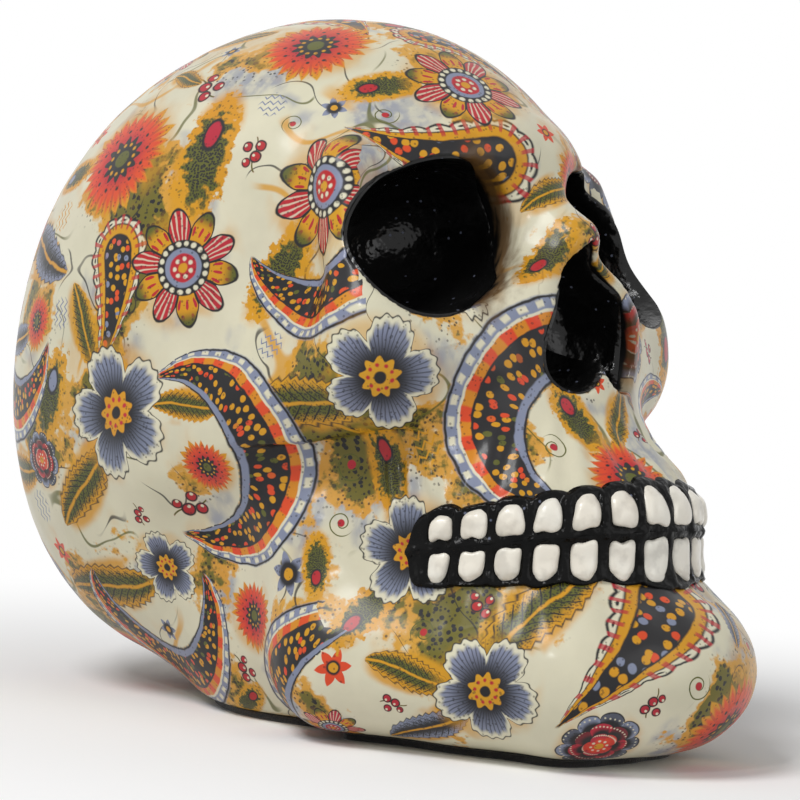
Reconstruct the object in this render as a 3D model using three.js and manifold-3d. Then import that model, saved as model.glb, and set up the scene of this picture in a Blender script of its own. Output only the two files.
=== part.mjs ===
// A life-size decorative sugar skull that comes apart into a hollow cast shell, black socket
// linings, two black gum bands, separate teeth, a base plate and a felt pad.
// Millimetres and degrees. +Z is up, the face looks along -Y, and the origin is on the floor
// under the skull. "Left" is the skull's own left, which is +X.

import * as THREE from 'three';
import { mergeVertices } from 'three/addons/utils/BufferGeometryUtils.js';
import Module from 'manifold-3d';

const wasm = await Module();
wasm.setup();

// Fits and walls
const FIT = 0.3;
const WALL = 8;
const LINING = 2.4;

// Braincase
const CRANIUM_WIDTH = 127;
const CRANIUM_LENGTH = 160;
const CRANIUM_HEIGHT = 140;
const CRANIUM_TILT = 29;
const CRANIUM_TAPER = 0.06;
const CRANIUM_BACK = 38;
const CRANIUM_RISE = 99;

// The face is laid out in hundredths of the braincase's length
const HUNDREDTH = CRANIUM_LENGTH / 100;

// Eye sockets: the opening in the casting, its middle and the way it faces
const EYE_WIDTH = 46;
const EYE_HEIGHT = 37;
const EYE_DEPTH = 32;
const EYE_APART = 62;
const EYE_FORWARD = 23;
const EYE_RISE = 119;
const EYE_OUTWARD = 27;
const EYE_UPWARD = 5.5;
const EYE_DROOP = 24;

// Nose cavity: an upside-down heart with its point at the top
const NOSE_WIDTH = 35;
const NOSE_HEIGHT = 35.6;
const NOSE_RISE = 102.8;
const NOSE_FORWARD = 53;
const NOSE_DEPTH = 24;
const NOSE_CUSP = 6;

// Mouth: the bite line runs round an upright axis and climbs towards the front
const MOUTH_BACK = 23.75 * HUNDREDTH;
const BITE_FORWARD = 47.5 * HUNDREDTH;
const BITE_RISE = 35 * HUNDREDTH;
const BITE_CLIMB = 11.8;
const TEETH_A_SIDE = 7;
const TOOTH_PITCH_FRONT = 6 * HUNDREDTH;
const TOOTH_PITCH_BACK = 4.625 * HUNDREDTH;
const TOOTH_GAP = 2.4;
const TOOTH_PROUD = 1.2;
const TOOTH_ROOT = 3;
const TOOTH_OFF_BITE = 1.4;
const UPPER_TOOTH_FRONT = 9.6;
const UPPER_TOOTH_BACK = 6.9;
const LOWER_TOOTH_FRONT = 11.3;
const LOWER_TOOTH_BACK = 6.7;
const GUM_PROUD = 1.6;
const GUM_DEPTH = 5;
const GUM_RIM = 1.3;
const GUM_SCALLOP = 1.2;
const GUM_END = 4;
const GUM_CLOSING = 0.8;
const GUM_SHOULDER = 0.75;
const GUM_EDGE = 0.25;

// Base
const PAD_THICK = 1.5;
const PAD_INSET = 4;
const PLATE_THICK = 4;
const PLATE_LEDGE = 5;
const HOLE_WIDTH = 40;
const HOLE_LENGTH = 56;
const BASE_RISE = PAD_THICK + FIT;

// Far enough to be outside the skull whichever way a cut leaves it
const CLEAR = 60;
const CUT_SPAN = 480;

// Points nearer than this are one point
const WELD = 1e-4;

const radians = THREE.MathUtils.degToRad;
const lerp = THREE.MathUtils.lerp;

// One rounded mass of the casting: an ellipsoid whose back sinks by a tilt about X, and which
// a taper makes narrower at the front than at the back.
function mass(at, radii, blend, tilt = 0, taper = 0) {
  const cos = Math.cos(radians(tilt));
  const sin = Math.sin(radians(tilt));
  const least = Math.min(...radii);
  const distance = (x, y, z) => {
    const py = y - at[1];
    const pz = z - at[2];
    const dy = (py * cos - pz * sin) / radii[1];
    const dx = (x - at[0]) / (radii[0] * (1 + taper * THREE.MathUtils.clamp(dy, -1, 1)));
    const dz = (py * sin + pz * cos) / radii[2];
    const reach = Math.hypot(dx, dy, dz);
    const slope = Math.hypot(dx / radii[0], dy / radii[1], dz / radii[2]);
    return slope === 0 ? -least : (reach * (reach - 1)) / slope;
  };
  return { distance, blend, paired: at[0] !== 0 };
}

// One bony bar of the casting: a round bar whose radius changes from one end to the other.
function bar(from, to, radiusFrom, radiusTo, blend) {
  const along = to.map((v, k) => v - from[k]);
  const lengthSquared = along.reduce((sum, v) => sum + v * v, 0);
  const distance = (x, y, z) => {
    const p = [x - from[0], y - from[1], z - from[2]];
    const share = (p[0] * along[0] + p[1] * along[1] + p[2] * along[2]) / lengthSquared;
    const t = THREE.MathUtils.clamp(share, 0, 1);
    const gap = Math.hypot(p[0] - along[0] * t, p[1] - along[1] * t, p[2] - along[2] * t);
    return gap - lerp(radiusFrom, radiusTo, t);
  };
  return { distance, blend, paired: from[0] !== 0 || to[0] !== 0 };
}

function smoothMin(a, b, blend) {
  const overlap = Math.max(blend - Math.abs(a - b), 0) / blend;
  return Math.min(a, b) - (overlap * overlap * blend) / 4;
}

// A form's distance, with its mirror twin blended in where it stands off the midline.
function formDistance(form, x, y, z) {
  const own = form.distance(Math.abs(x), y, z);
  return form.paired ? smoothMin(own, form.distance(-Math.abs(x), y, z), form.blend) : own;
}

const braincase = mass(
  [0, CRANIUM_BACK, CRANIUM_RISE],
  [CRANIUM_WIDTH / 2, CRANIUM_LENGTH / 2, CRANIUM_HEIGHT / 2],
  1,
  CRANIUM_TILT,
  CRANIUM_TAPER,
);

// The other forms are placed, sized and blended in the same hundredths
const spot = (values) => values.map((v) => v * HUNDREDTH);
const lump = (at, radii, blend) => mass(spot(at), spot(radii), blend * HUNDREDTH);
const rail = (from, to, ...sizes) => bar(spot(from), spot(to), ...spot(sizes));

const occiput = lump([0, 37.5, 39.4], [35, 34.4, 36.2], 10);
const brow = rail([3.75, -15.6, 87], [22.5, -3.75, 85], 3.75, 3.12, 6.25);
const pillar = rail([28.6, -5.4, 82.2], [31.4, -13.2, 63.8], 3.75, 5, 6.25);
const cheekbone = lump([25.6, -15.6, 56.9], [8.12, 7.5, 9.38], 8.75);
const cheekFront = lump([16.9, -18.1, 56.2], [8.12, 8.12, 10.6], 7.5);
const cheekArch = rail([29.4, -12.5, 53.8], [30.6, 22.5, 40], 5.62, 5.62, 11.2);
const noseBridge = rail([0, -14, 82], [0, -26.8, 75], 3.1, 3.6, 3.4);
const noseSide = rail([4.6, -23.8, 75], [9.6, -26, 63.8], 3.1, 4.4, 4.4);
const maxilla = lump([0, -13.8, 52.5], [20.6, 20.6, 20], 7.5);
const toothRidge = lump([0, -24.4, 35], [23.1, 22.5, 13.8], 8.75);
const cheek = lump([0, -12.5, 35], [27.5, 22.5, 18.8], 8.75);
const chin = lump([0, -44.4, 13.8], [18.8, 15, 12.5], 8.75);
const jawBody = rail([26.2, -10, 11.2], [13.8, -38.8, 12.5], 8.75, 11.2, 8.75);
const jawBranch = rail([23.8, -8.75, 12.5], [27.5, 5, 45], 7.5, 5.62, 10);
const mouthFloor = lump([0, -18.8, 18.8], [25, 25, 22.5], 8.75);
const neck = lump([0, 12.5, 16.2], [27.5, 23.8, 25], 12.5);
const masses = [
  braincase, occiput, brow, pillar, cheekbone, cheekFront, cheekArch, noseBridge, noseSide, maxilla,
  toothRidge, cheek, chin, jawBody, jawBranch, mouthFloor, neck,
];

const temple = lump([43.1, 3.75, 73.8], [6.25, 11.2, 15], 10);
const noseRoot = lump([10.4, -25, 79.6], [6.2, 7.2, 9], 3.1);
const dents = [temple, noseRoot];

function skullDistance(x, y, z) {
  let d = Infinity;
  for (const form of masses) {
    const next = formDistance(form, x, y, z);
    d = d === Infinity ? next : smoothMin(d, next, form.blend);
  }
  for (const form of dents) d = -smoothMin(-d, formDistance(form, x, y, z), form.blend);
  return d;
}

// How far from a point along a direction a test stops holding, found from the far end or the near.
const REACH = 190;
const REACH_STEP = 2;
const REACH_HALVINGS = 22;

function crossing(inside, low, high) {
  for (let i = 0; i < REACH_HALVINGS; i++) {
    const middle = (low + high) / 2;
    if (inside(middle)) low = middle;
    else high = middle;
  }
  return low;
}

function skinReach(from, along) {
  const inside = (t) =>
    skullDistance(from.x + along.x * t, from.y + along.y * t, from.z + along.z * t) < 0;
  let outer = REACH;
  while (outer > 0 && !inside(outer)) outer -= REACH_STEP;
  return crossing(inside, outer, outer + REACH_STEP);
}

function roomReach(from, along, fits) {
  const inside = (t) => fits(from.x + along.x * t, from.y + along.y * t, from.z + along.z * t);
  let near = 0;
  while (near < REACH && inside(near + REACH_STEP)) near += REACH_STEP;
  return crossing(inside, near, near + REACH_STEP);
}

// A closed skin through rings of points, each end capped to its middle. The rings run
// counter-clockwise seen from the last ring's side, or clockwise when inward is set.
function loft(rings, inward = false) {
  const count = rings[0].length;
  const points = rings.flat();
  const middle = (ring) => ring.reduce((sum, p) => sum.add(p), new THREE.Vector3()).divideScalar(count);
  const first = points.push(middle(rings[0])) - 1;
  const last = points.push(middle(rings[rings.length - 1])) - 1;
  const top = (rings.length - 1) * count;
  const index = [];
  for (let i = 0; i < count; i++) {
    const j = (i + 1) % count;
    index.push(first, j, i);
    for (let r = 0; r + 1 < rings.length; r++) {
      const a = r * count + i;
      const b = r * count + j;
      index.push(a, b, b + count, a, b + count, a + count);
    }
    index.push(top + i, top + j, last);
  }
  const geometry = new THREE.BufferGeometry().setFromPoints(points);
  geometry.setIndex(inward ? index.reverse() : index);
  return geometry;
}

function solid(geometry) {
  const bare = geometry.clone();
  bare.deleteAttribute('normal');
  bare.deleteAttribute('uv');
  const merged = mergeVertices(bare, WELD);
  return new wasm.Manifold(
    new wasm.Mesh({
      numProp: 3,
      vertProperties: new Float32Array(merged.attributes.position.array),
      triVerts: new Uint32Array(merged.index.array),
    }),
  );
}

function geometryOf(shape) {
  const { vertProperties, triVerts, numProp } = shape.getMesh();
  const positions = new Float32Array((vertProperties.length / numProp) * 3);
  for (let i = 0; i < positions.length / 3; i++)
    for (let k = 0; k < 3; k++) positions[i * 3 + k] = vertProperties[i * numProp + k];
  const geometry = new THREE.BufferGeometry();
  geometry.setAttribute('position', new THREE.BufferAttribute(positions, 3));
  geometry.setIndex(Array.from(triVerts));
  return geometry;
}

// A skin drawn by rays from one inner point, with its columns drawn together by crowd at the face.
function raySkin(centre, columns, rows, lowest, crowd, reach) {
  const rings = [];
  for (let r = 0; r < rows; r++) {
    const lift = lerp(radians(lowest), Math.PI / 2, (r + 0.5) / rows);
    const ring = [];
    for (let c = 0; c < columns; c++) {
      const even = (2 * Math.PI * c) / columns;
      const turn = even - crowd * Math.sin(even);
      const flat = Math.cos(lift);
      const along = new THREE.Vector3(Math.sin(turn) * flat, -Math.cos(turn) * flat, Math.sin(lift));
      ring.push(along.clone().multiplyScalar(reach(centre, along)).add(centre));
    }
    rings.push(ring);
  }
  return solid(loft(rings));
}

// Casting before its openings are cut
const FACE_CENTRE = new THREE.Vector3(...spot([0, -3.1, 51.3]));
const SKIN_COLUMNS = 64;
const SKIN_ROWS = 42;
const SKIN_LOWEST = -68;
const SKIN_CROWD = 0.35;
const floorCut = new THREE.BoxGeometry(CUT_SPAN, CUT_SPAN, 2 * CLEAR).translate(0, 0, BASE_RISE - CLEAR);
const body = raySkin(FACE_CENTRE, SKIN_COLUMNS, SKIN_ROWS, SKIN_LOWEST, SKIN_CROWD, skinReach)
  .subtract(solid(floorCut));

// Eye socket: a rounded square that narrows to a round end, drooping at its outer side and swung
// outwards and a little up
const EYE_SIDES = 20;
const EYE_STEPS = 4;
const EYE_SQUARE = 2.2;
const EYE_END = 0.15;

function socketSolid(side, grow) {
  const rings = [];
  const depth = EYE_DEPTH + grow;
  for (let k = 0; k <= EYE_STEPS + 1; k++) {
    const share = Math.max(0, k - 1) / EYE_STEPS;
    const into = k === 0 ? -CLEAR : depth * share;
    const taper = Math.max(EYE_END, Math.sqrt(1 - share ** EYE_SQUARE));
    const ring = [];
    for (let i = 0; i < EYE_SIDES; i++) {
      const a = (2 * Math.PI * i) / EYE_SIDES;
      const power = Math.abs(Math.cos(a)) ** EYE_SQUARE + Math.abs(Math.sin(a)) ** EYE_SQUARE;
      const reach = taper * power ** (-1 / EYE_SQUARE);
      const across = Math.cos(a) * reach * (EYE_WIDTH / 2 + grow);
      const up = Math.sin(a) * reach * (EYE_HEIGHT / 2 + grow);
      ring.push(new THREE.Vector3(across, into, up));
    }
    rings.push(ring);
  }
  const geometry = loft(rings, true);
  geometry.rotateY(radians(side * EYE_DROOP));
  geometry.rotateX(radians(-EYE_UPWARD));
  geometry.rotateZ(radians(side * EYE_OUTWARD));
  geometry.translate((side * EYE_APART) / 2, -EYE_FORWARD, EYE_RISE);
  return solid(geometry);
}

// Nose cavity: the heart outline drawn straight back, narrowing to its end
// An edge of the heart leaves its point at the brim, is widest at the flank and bulges to the lobe
const NOSE_STEPS = 2;
const NOSE_NARROW = 0.6;
const NOSE_BRIM = { across: 0.3, up: 0.7 };
const NOSE_FLANK = { above: 0.1, widest: -0.5 };
const NOSE_LOBE = { across: 0.25, up: -1.15 };
const NOSE_EDGE_STEPS = 4;

function noseOutline(grow) {
  const wide = NOSE_WIDTH / 2 + grow;
  const top = NOSE_HEIGHT / 2 + grow;
  const cusp = -NOSE_HEIGHT / 2 + NOSE_CUSP - grow;
  const widest = top * NOSE_FLANK.widest;
  const above = top * NOSE_FLANK.above;
  const brim = { x: wide * NOSE_BRIM.across, y: top * NOSE_BRIM.up };
  const lobe = { x: wide * NOSE_LOBE.across, y: top * NOSE_LOBE.up };
  const shape = new THREE.Shape();
  shape.moveTo(0, top);
  shape.bezierCurveTo(-brim.x, brim.y, -wide, above, -wide, widest);
  shape.bezierCurveTo(-wide, lobe.y, -lobe.x, lobe.y, 0, cusp);
  shape.bezierCurveTo(lobe.x, lobe.y, wide, lobe.y, wide, widest);
  shape.bezierCurveTo(wide, above, brim.x, brim.y, 0, top);
  return shape.getPoints(NOSE_EDGE_STEPS).slice(0, -1);
}

function noseSolid(grow) {
  const outline = noseOutline(grow);
  const rings = [];
  for (let k = 0; k <= NOSE_STEPS + 1; k++) {
    const share = Math.max(0, k - 1) / NOSE_STEPS;
    const into = k === 0 ? -CLEAR : (NOSE_DEPTH + grow) * share;
    const taper = 1 - (1 - NOSE_NARROW) * share * share;
    rings.push(outline.map((p) => new THREE.Vector3(p.x * taper, into, p.y * taper)));
  }
  const geometry = loft(rings, true);
  geometry.translate(0, -NOSE_FORWARD, NOSE_RISE);
  return solid(geometry);
}

const eyeCuts = [1, -1].map((side) => socketSolid(side, FIT));

function eyeLining(side) {
  return body.intersect(socketSolid(side, 0)).subtract(socketSolid(side, -LINING));
}

function noseLining() {
  const lining = body.intersect(noseSolid(0)).subtract(noseSolid(-LINING));
  return eyeCuts.reduce((rest, cut) => rest.subtract(cut), lining);
}

// Hollow of the casting: a wall's thickness in from the skin, clear of the sockets and the face
const HOLLOW_CENTRE = new THREE.Vector3(...spot([0, 21.3, 55]));
const HOLLOW_COLUMNS = 22;
const HOLLOW_ROWS = 14;
const HOLLOW_LOWEST = -90;
const HOLLOW_CROWD = 0;
const HOLLOW_FRONT = -11.3 * HUNDREDTH;

function socketShare(side, x, y, z, grow) {
  const p = new THREE.Vector3(x - (side * EYE_APART) / 2, y + EYE_FORWARD, z - EYE_RISE);
  p.applyAxisAngle(new THREE.Vector3(0, 0, 1), radians(-side * EYE_OUTWARD));
  p.applyAxisAngle(new THREE.Vector3(1, 0, 0), radians(EYE_UPWARD));
  p.applyAxisAngle(new THREE.Vector3(0, 1, 0), radians(-side * EYE_DROOP));
  return Math.hypot(
    p.x / (EYE_WIDTH / 2 + grow),
    p.y / (EYE_DEPTH + grow),
    p.z / (EYE_HEIGHT / 2 + grow),
  );
}

function hasRoom(x, y, z) {
  if (y < HOLLOW_FRONT || skullDistance(x, y, z) > -WALL) return false;
  return [1, -1].every((side) => socketShare(side, x, y, z, WALL) > 1);
}

const ELLIPSE_STEPS = 16;

function ellipsePrism(width, length, from, to) {
  const shape = new THREE.Shape();
  shape.absellipse(0, 0, width / 2, length / 2, 0, 2 * Math.PI);
  const options = { depth: to - from, bevelEnabled: false, curveSegments: ELLIPSE_STEPS };
  return new THREE.ExtrudeGeometry(shape, options).translate(0, 0, from);
}

const hollow = raySkin(HOLLOW_CENTRE, HOLLOW_COLUMNS, HOLLOW_ROWS, HOLLOW_LOWEST, HOLLOW_CROWD,
  (from, along) => roomReach(from, along, hasRoom));
const hole = solid(ellipsePrism(HOLE_WIDTH, HOLE_LENGTH, -CLEAR, BITE_RISE));
const rebate = solid(ellipsePrism(
  HOLE_WIDTH + 2 * PLATE_LEDGE,
  HOLE_LENGTH + 2 * PLATE_LEDGE,
  -CLEAR,
  BASE_RISE + PLATE_THICK + FIT,
));

// Mouth: places are given by the way along the arch from the midline, the height and the
// distance out from the skin
const ARCH_STEP = 2;

function biteRise(y) {
  return BITE_RISE - (y + BITE_FORWARD) * Math.tan(radians(BITE_CLIMB));
}

function archDirection(turn) {
  return new THREE.Vector3(Math.sin(turn), -Math.cos(turn), 0);
}

function archAt(turn, rise) {
  const along = archDirection(turn);
  const from = new THREE.Vector3(0, -MOUTH_BACK, rise);
  return from.clone().addScaledVector(along, skinReach(from, along));
}

// Where each tooth of a side starts along the arch, the last value being the row's end
const toothPitches = Array.from({ length: TEETH_A_SIDE }, (_, k) =>
  lerp(TOOTH_PITCH_FRONT, TOOTH_PITCH_BACK, k / (TEETH_A_SIDE - 1)));
const toothStarts = toothPitches.reduce((starts, pitch) => [...starts, starts.at(-1) + pitch], [0]);
const MOUTH_HALF = toothStarts.at(-1);

// Turns of the arch and the ways along it to the end of the gum
const MOUTH_END = MOUTH_HALF + GUM_END + FIT;
const archTurns = [0];
const archLengths = [0];
for (let last = archAt(0, BITE_RISE); archLengths.at(-1) < MOUTH_END;) {
  const turn = archTurns.at(-1) + radians(ARCH_STEP);
  const at = archAt(turn, BITE_RISE);
  archTurns.push(turn);
  archLengths.push(archLengths.at(-1) + at.distanceTo(last));
  last = at;
}

function turnAlong(way) {
  const length = Math.abs(way);
  let k = 1;
  while (k < archLengths.length - 1 && archLengths[k] < length) k += 1;
  const share = (length - archLengths[k - 1]) / (archLengths[k] - archLengths[k - 1]);
  return Math.sign(way) * lerp(archTurns[k - 1], archTurns[k], share);
}

function mouthPoint(way, above, out) {
  const turn = turnAlong(way);
  const bite = biteRise(archAt(turn, BITE_RISE).y);
  return archAt(turn, bite + above).addScaledVector(archDirection(turn), out);
}

// How tall a tooth is at a way along the arch, for the upper row (1) or the lower (-1)
function toothHeight(row, way) {
  const share = Math.min(1, Math.abs(way) / MOUTH_HALF);
  const front = row > 0 ? UPPER_TOOTH_FRONT : LOWER_TOOTH_FRONT;
  const back = row > 0 ? UPPER_TOOTH_BACK : LOWER_TOOTH_BACK;
  return lerp(front, back, share);
}

// How far the gum reaches from the bite line: drawn in by dip, and closing at the two ends
function gumReach(row, way, dip) {
  const full = TOOTH_OFF_BITE + toothHeight(row, way) + GUM_RIM - dip;
  const past = THREE.MathUtils.clamp((Math.abs(way) - MOUTH_HALF) / GUM_END, 0, 1);
  return full * Math.sqrt(1 - GUM_CLOSING * past * past);
}

// Stations along one side of the gum, with the dip of its scallop between two teeth
const GUM_STATIONS = 2;
const sideStations = toothPitches.flatMap((pitch, k) =>
  Array.from({ length: GUM_STATIONS }, (_, j) => ({
    way: toothStarts[k] + (pitch * j) / GUM_STATIONS,
    dip: GUM_SCALLOP * Math.cos((Math.PI * j) / GUM_STATIONS) ** 2,
  })));

function gumStations(grow) {
  const half = [
    ...sideStations,
    { way: MOUTH_HALF, dip: GUM_SCALLOP },
    { way: MOUTH_HALF + GUM_END / 2, dip: GUM_SCALLOP },
    { way: MOUTH_HALF + GUM_END + grow, dip: GUM_SCALLOP },
  ];
  const mirrored = half.slice(1).reverse().map(({ way, dip }) => ({ way: -way, dip }));
  return [...mirrored, ...half];
}

function bandSolid(grow, profile) {
  const rings = gumStations(grow).map(({ way, dip }) =>
    profile(way, dip).map(([above, out]) => mouthPoint(way, above, out)));
  return solid(loft(rings, true));
}

function gumSolid(row) {
  return bandSolid(0, (way, dip) => {
    const reach = gumReach(row, way, dip);
    const near = FIT / 2;
    const ring = [
      [near, -GUM_DEPTH],
      [near, GUM_PROUD],
      [lerp(near, reach, GUM_SHOULDER), GUM_PROUD],
      [reach, GUM_PROUD * GUM_EDGE],
      [reach, -GUM_DEPTH],
    ];
    return row > 0 ? ring : ring.map(([above, out]) => [-above, out]).reverse();
  });
}

function gumChannel() {
  return bandSolid(FIT, (way, dip) => {
    const top = gumReach(1, way, dip) + FIT;
    const bottom = -gumReach(-1, way, dip) - FIT;
    const back = -GUM_DEPTH - FIT;
    return [[bottom, back], [bottom, CLEAR], [top, CLEAR], [top, back], [0, back]];
  });
}

// Tooth: a rounded peg, squarer at the bite, whose face swells a little
const TOOTH_SIDES = 8;
const TOOTH_SQUARE = 3;
const TOOTH_FACE = 0.72;

function toothSolid({ row, way, pitch }, grow) {
  const height = toothHeight(row, way);
  const middle = row * (TOOTH_OFF_BITE + height / 2);
  const wide = (pitch - TOOTH_GAP) / 2 + grow;
  const tall = height / 2 + grow;
  const front = GUM_PROUD + TOOTH_PROUD;
  const layers = [
    [-TOOTH_ROOT - grow, 1],
    [GUM_PROUD, 1],
    [front, TOOTH_FACE],
  ];
  const rings = layers.map(([out, size]) => {
    const ring = [];
    for (let i = 0; i < TOOTH_SIDES; i++) {
      const a = (2 * Math.PI * (i + 0.5)) / TOOTH_SIDES;
      const power = Math.abs(Math.cos(a)) ** TOOTH_SQUARE + Math.abs(Math.sin(a)) ** TOOTH_SQUARE;
      const reach = size * power ** (-1 / TOOTH_SQUARE);
      const across = way + Math.cos(a) * reach * wide;
      ring.push(mouthPoint(across, middle + Math.sin(a) * reach * tall, out));
    }
    return ring;
  });
  return solid(loft(rings));
}

const teeth = [];
for (const row of [1, -1])
  for (const side of [1, -1])
    toothPitches.forEach((pitch, k) => {
      const rowName = row > 0 ? 'upper' : 'lower';
      const sideName = side > 0 ? 'left' : 'right';
      const way = side * (toothStarts[k] + pitch / 2);
      teeth.push({ name: `${rowName}_${sideName}_tooth_${k + 1}`, row, way, pitch });
    });

function gumWithPockets(row) {
  return teeth
    .filter((tooth) => tooth.row === row)
    .reduce((gum, tooth) => gum.subtract(toothSolid(tooth, FIT)), gumSolid(row));
}

function shellSolid() {
  const cuts = [...eyeCuts, noseSolid(FIT), gumChannel(), hollow, hole, rebate];
  return cuts.reduce((rest, cut) => rest.subtract(cut), body);
}

// Pad: the outline of the casting's foot, drawn in a little all round
const PAD_CENTRE = new THREE.Vector3(0, -11.3 * HUNDREDTH, BASE_RISE);
const PAD_SIDES = 48;

function padGeometry() {
  const outline = [];
  for (let i = 0; i < PAD_SIDES; i++) {
    const a = (2 * Math.PI * i) / PAD_SIDES;
    const along = new THREE.Vector3(Math.cos(a), Math.sin(a), 0);
    const reach = skinReach(PAD_CENTRE, along) - PAD_INSET;
    outline.push(new THREE.Vector2(PAD_CENTRE.x + along.x * reach, PAD_CENTRE.y + along.y * reach));
  }
  return new THREE.ExtrudeGeometry(new THREE.Shape(outline), { depth: PAD_THICK, bevelEnabled: false });
}

const plateWidth = HOLE_WIDTH + 2 * (PLATE_LEDGE - FIT);
const plateLength = HOLE_LENGTH + 2 * (PLATE_LEDGE - FIT);

// Finishes
const print = new THREE.MeshStandardMaterial({ color: 0xe4dfcc, roughness: 0.25, metalness: 0 });
const black = new THREE.MeshStandardMaterial({ color: 0x0b0a0a, roughness: 0.25, metalness: 0 });
const enamel = new THREE.MeshStandardMaterial({ color: 0xe6e5de, roughness: 0.3, metalness: 0 });
const resin = new THREE.MeshStandardMaterial({ color: 0xb9b2a0, roughness: 0.7, metalness: 0 });
const felt = new THREE.MeshStandardMaterial({ color: 0x14130f, roughness: 0.95, metalness: 0 });

const skull = new THREE.Group();

function place(name, geometry, material) {
  const mesh = new THREE.Mesh(geometry, material);
  mesh.name = name;
  skull.add(mesh);
}

place('skull_shell', geometryOf(shellSolid()), print);
place('left_eye_socket', geometryOf(eyeLining(1)), black);
place('right_eye_socket', geometryOf(eyeLining(-1)), black);
place('nasal_cavity', geometryOf(noseLining()), black);
place('upper_gum', geometryOf(gumWithPockets(1)), black);
place('lower_gum', geometryOf(gumWithPockets(-1)), black);
for (const tooth of teeth) place(tooth.name, geometryOf(toothSolid(tooth, 0)), enamel);
place('base_plate', ellipsePrism(plateWidth, plateLength, BASE_RISE, BASE_RISE + PLATE_THICK), resin);
place('base_pad', padGeometry(), felt);

export default skull;
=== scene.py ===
"""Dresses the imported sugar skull: a printed casting, black socket linings and gums, teeth and a felted base.

Shapes are worked out in millimetres, in the part's own frame, and become metres when a mesh is filled.
+Z is up, the face looks along -Y, and "left" is the skull's own left, which is +X.
"""

import math

import bpy
import numpy as np
from bpy.props import FloatProperty, FloatVectorProperty, IntProperty, PointerProperty
from mathutils import Matrix, Vector


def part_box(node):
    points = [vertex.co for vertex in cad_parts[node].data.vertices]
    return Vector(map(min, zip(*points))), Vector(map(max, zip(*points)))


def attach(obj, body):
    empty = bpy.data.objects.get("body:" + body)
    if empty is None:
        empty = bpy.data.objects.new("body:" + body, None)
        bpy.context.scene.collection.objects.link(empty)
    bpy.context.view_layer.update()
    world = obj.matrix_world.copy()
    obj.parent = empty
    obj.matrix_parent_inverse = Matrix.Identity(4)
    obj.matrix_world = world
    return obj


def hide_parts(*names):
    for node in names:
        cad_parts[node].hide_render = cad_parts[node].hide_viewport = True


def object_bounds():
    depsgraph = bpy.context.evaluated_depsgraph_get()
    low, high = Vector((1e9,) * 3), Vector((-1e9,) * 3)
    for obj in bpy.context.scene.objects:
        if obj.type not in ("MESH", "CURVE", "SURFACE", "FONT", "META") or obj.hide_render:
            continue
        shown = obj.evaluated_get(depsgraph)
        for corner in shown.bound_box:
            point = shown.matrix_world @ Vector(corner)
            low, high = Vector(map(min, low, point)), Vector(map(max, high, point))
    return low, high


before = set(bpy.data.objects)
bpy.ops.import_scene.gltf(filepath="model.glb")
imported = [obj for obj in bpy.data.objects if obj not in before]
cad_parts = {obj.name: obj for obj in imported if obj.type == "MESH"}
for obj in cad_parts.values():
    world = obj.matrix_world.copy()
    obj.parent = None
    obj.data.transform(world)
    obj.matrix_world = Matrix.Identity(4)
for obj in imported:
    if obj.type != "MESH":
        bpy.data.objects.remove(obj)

bl_info = {
    "name": "Sugar Skull",
    "version": (1, 0, 0),
    "blender": (4, 5, 0),
    "location": "View3D > Sidebar > Sugar Skull",
    "description": "Models the looks of a printed sugar skull around its CAD frame",
    "category": "Object",
}

CAD_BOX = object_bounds()
BODY = "root"
MM = 0.001

# Sizes that the part's source gives, in millimetres and degrees
HUNDREDTH = 1.6
FIT = 0.3
EYE_WIDTH, EYE_HEIGHT, EYE_DEPTH = 46.0, 37.0, 32.0
EYE_APART, EYE_FORWARD, EYE_RISE = 62.0, 23.0, 119.0
EYE_OUTWARD, EYE_UPWARD, EYE_DROOP = 27.0, 5.5, 24.0
EYE_SQUARE = 2.2
NOSE_WIDTH, NOSE_HEIGHT, NOSE_RISE = 35.0, 35.6, 102.8
NOSE_FORWARD, NOSE_DEPTH, NOSE_CUSP, NOSE_NARROW = 53.0, 24.0, 6.0, 0.6
MOUTH_BACK = 23.75 * HUNDREDTH
BITE_FORWARD = 47.5 * HUNDREDTH
BITE_RISE = 35 * HUNDREDTH
BITE_CLIMB = 11.8
ARCH_FURTHEST, ARCH_STEP = 126, 2
TEETH_A_SIDE = 7
TOOTH_PITCH_FRONT, TOOTH_PITCH_BACK = 6 * HUNDREDTH, 4.625 * HUNDREDTH
TOOTH_GAP, TOOTH_PROUD, TOOTH_OFF_BITE = 2.4, 1.2, 1.4
TOOTH_HEIGHTS = {"upper": (9.6, 6.9), "lower": (11.3, 6.7)}
GUM_PROUD, GUM_RIM, GUM_SCALLOP, GUM_END = 1.6, 1.3, 1.2, 4.0
PAD_THICK, PAD_INSET = 1.5, 4.0
BASE_RISE = PAD_THICK + FIT
FACE_CENTRE = np.array([0.0, -3.1, 51.3]) * HUNDREDTH
PAD_CENTRE = np.array([0.0, -11.3 * HUNDREDTH, BASE_RISE])
SIDES = {"left": 1, "right": -1}
ROWS = {"upper": 1, "lower": -1}

# Fine fit to the photograph: a flatter upper half of the eye holes, and a mouth set lower
EYE_BROW = 0.87
MOUTH_DROP = 1.0

# How far a ray looks for the skin, and how finely
REACH = 190.0
NEAR_ENOUGH = 0.01
TRACE_STEPS = 90
TRACE_SHARE = 0.7
SLOPE_STEP = 0.2
TINY = 1e-9


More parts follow.
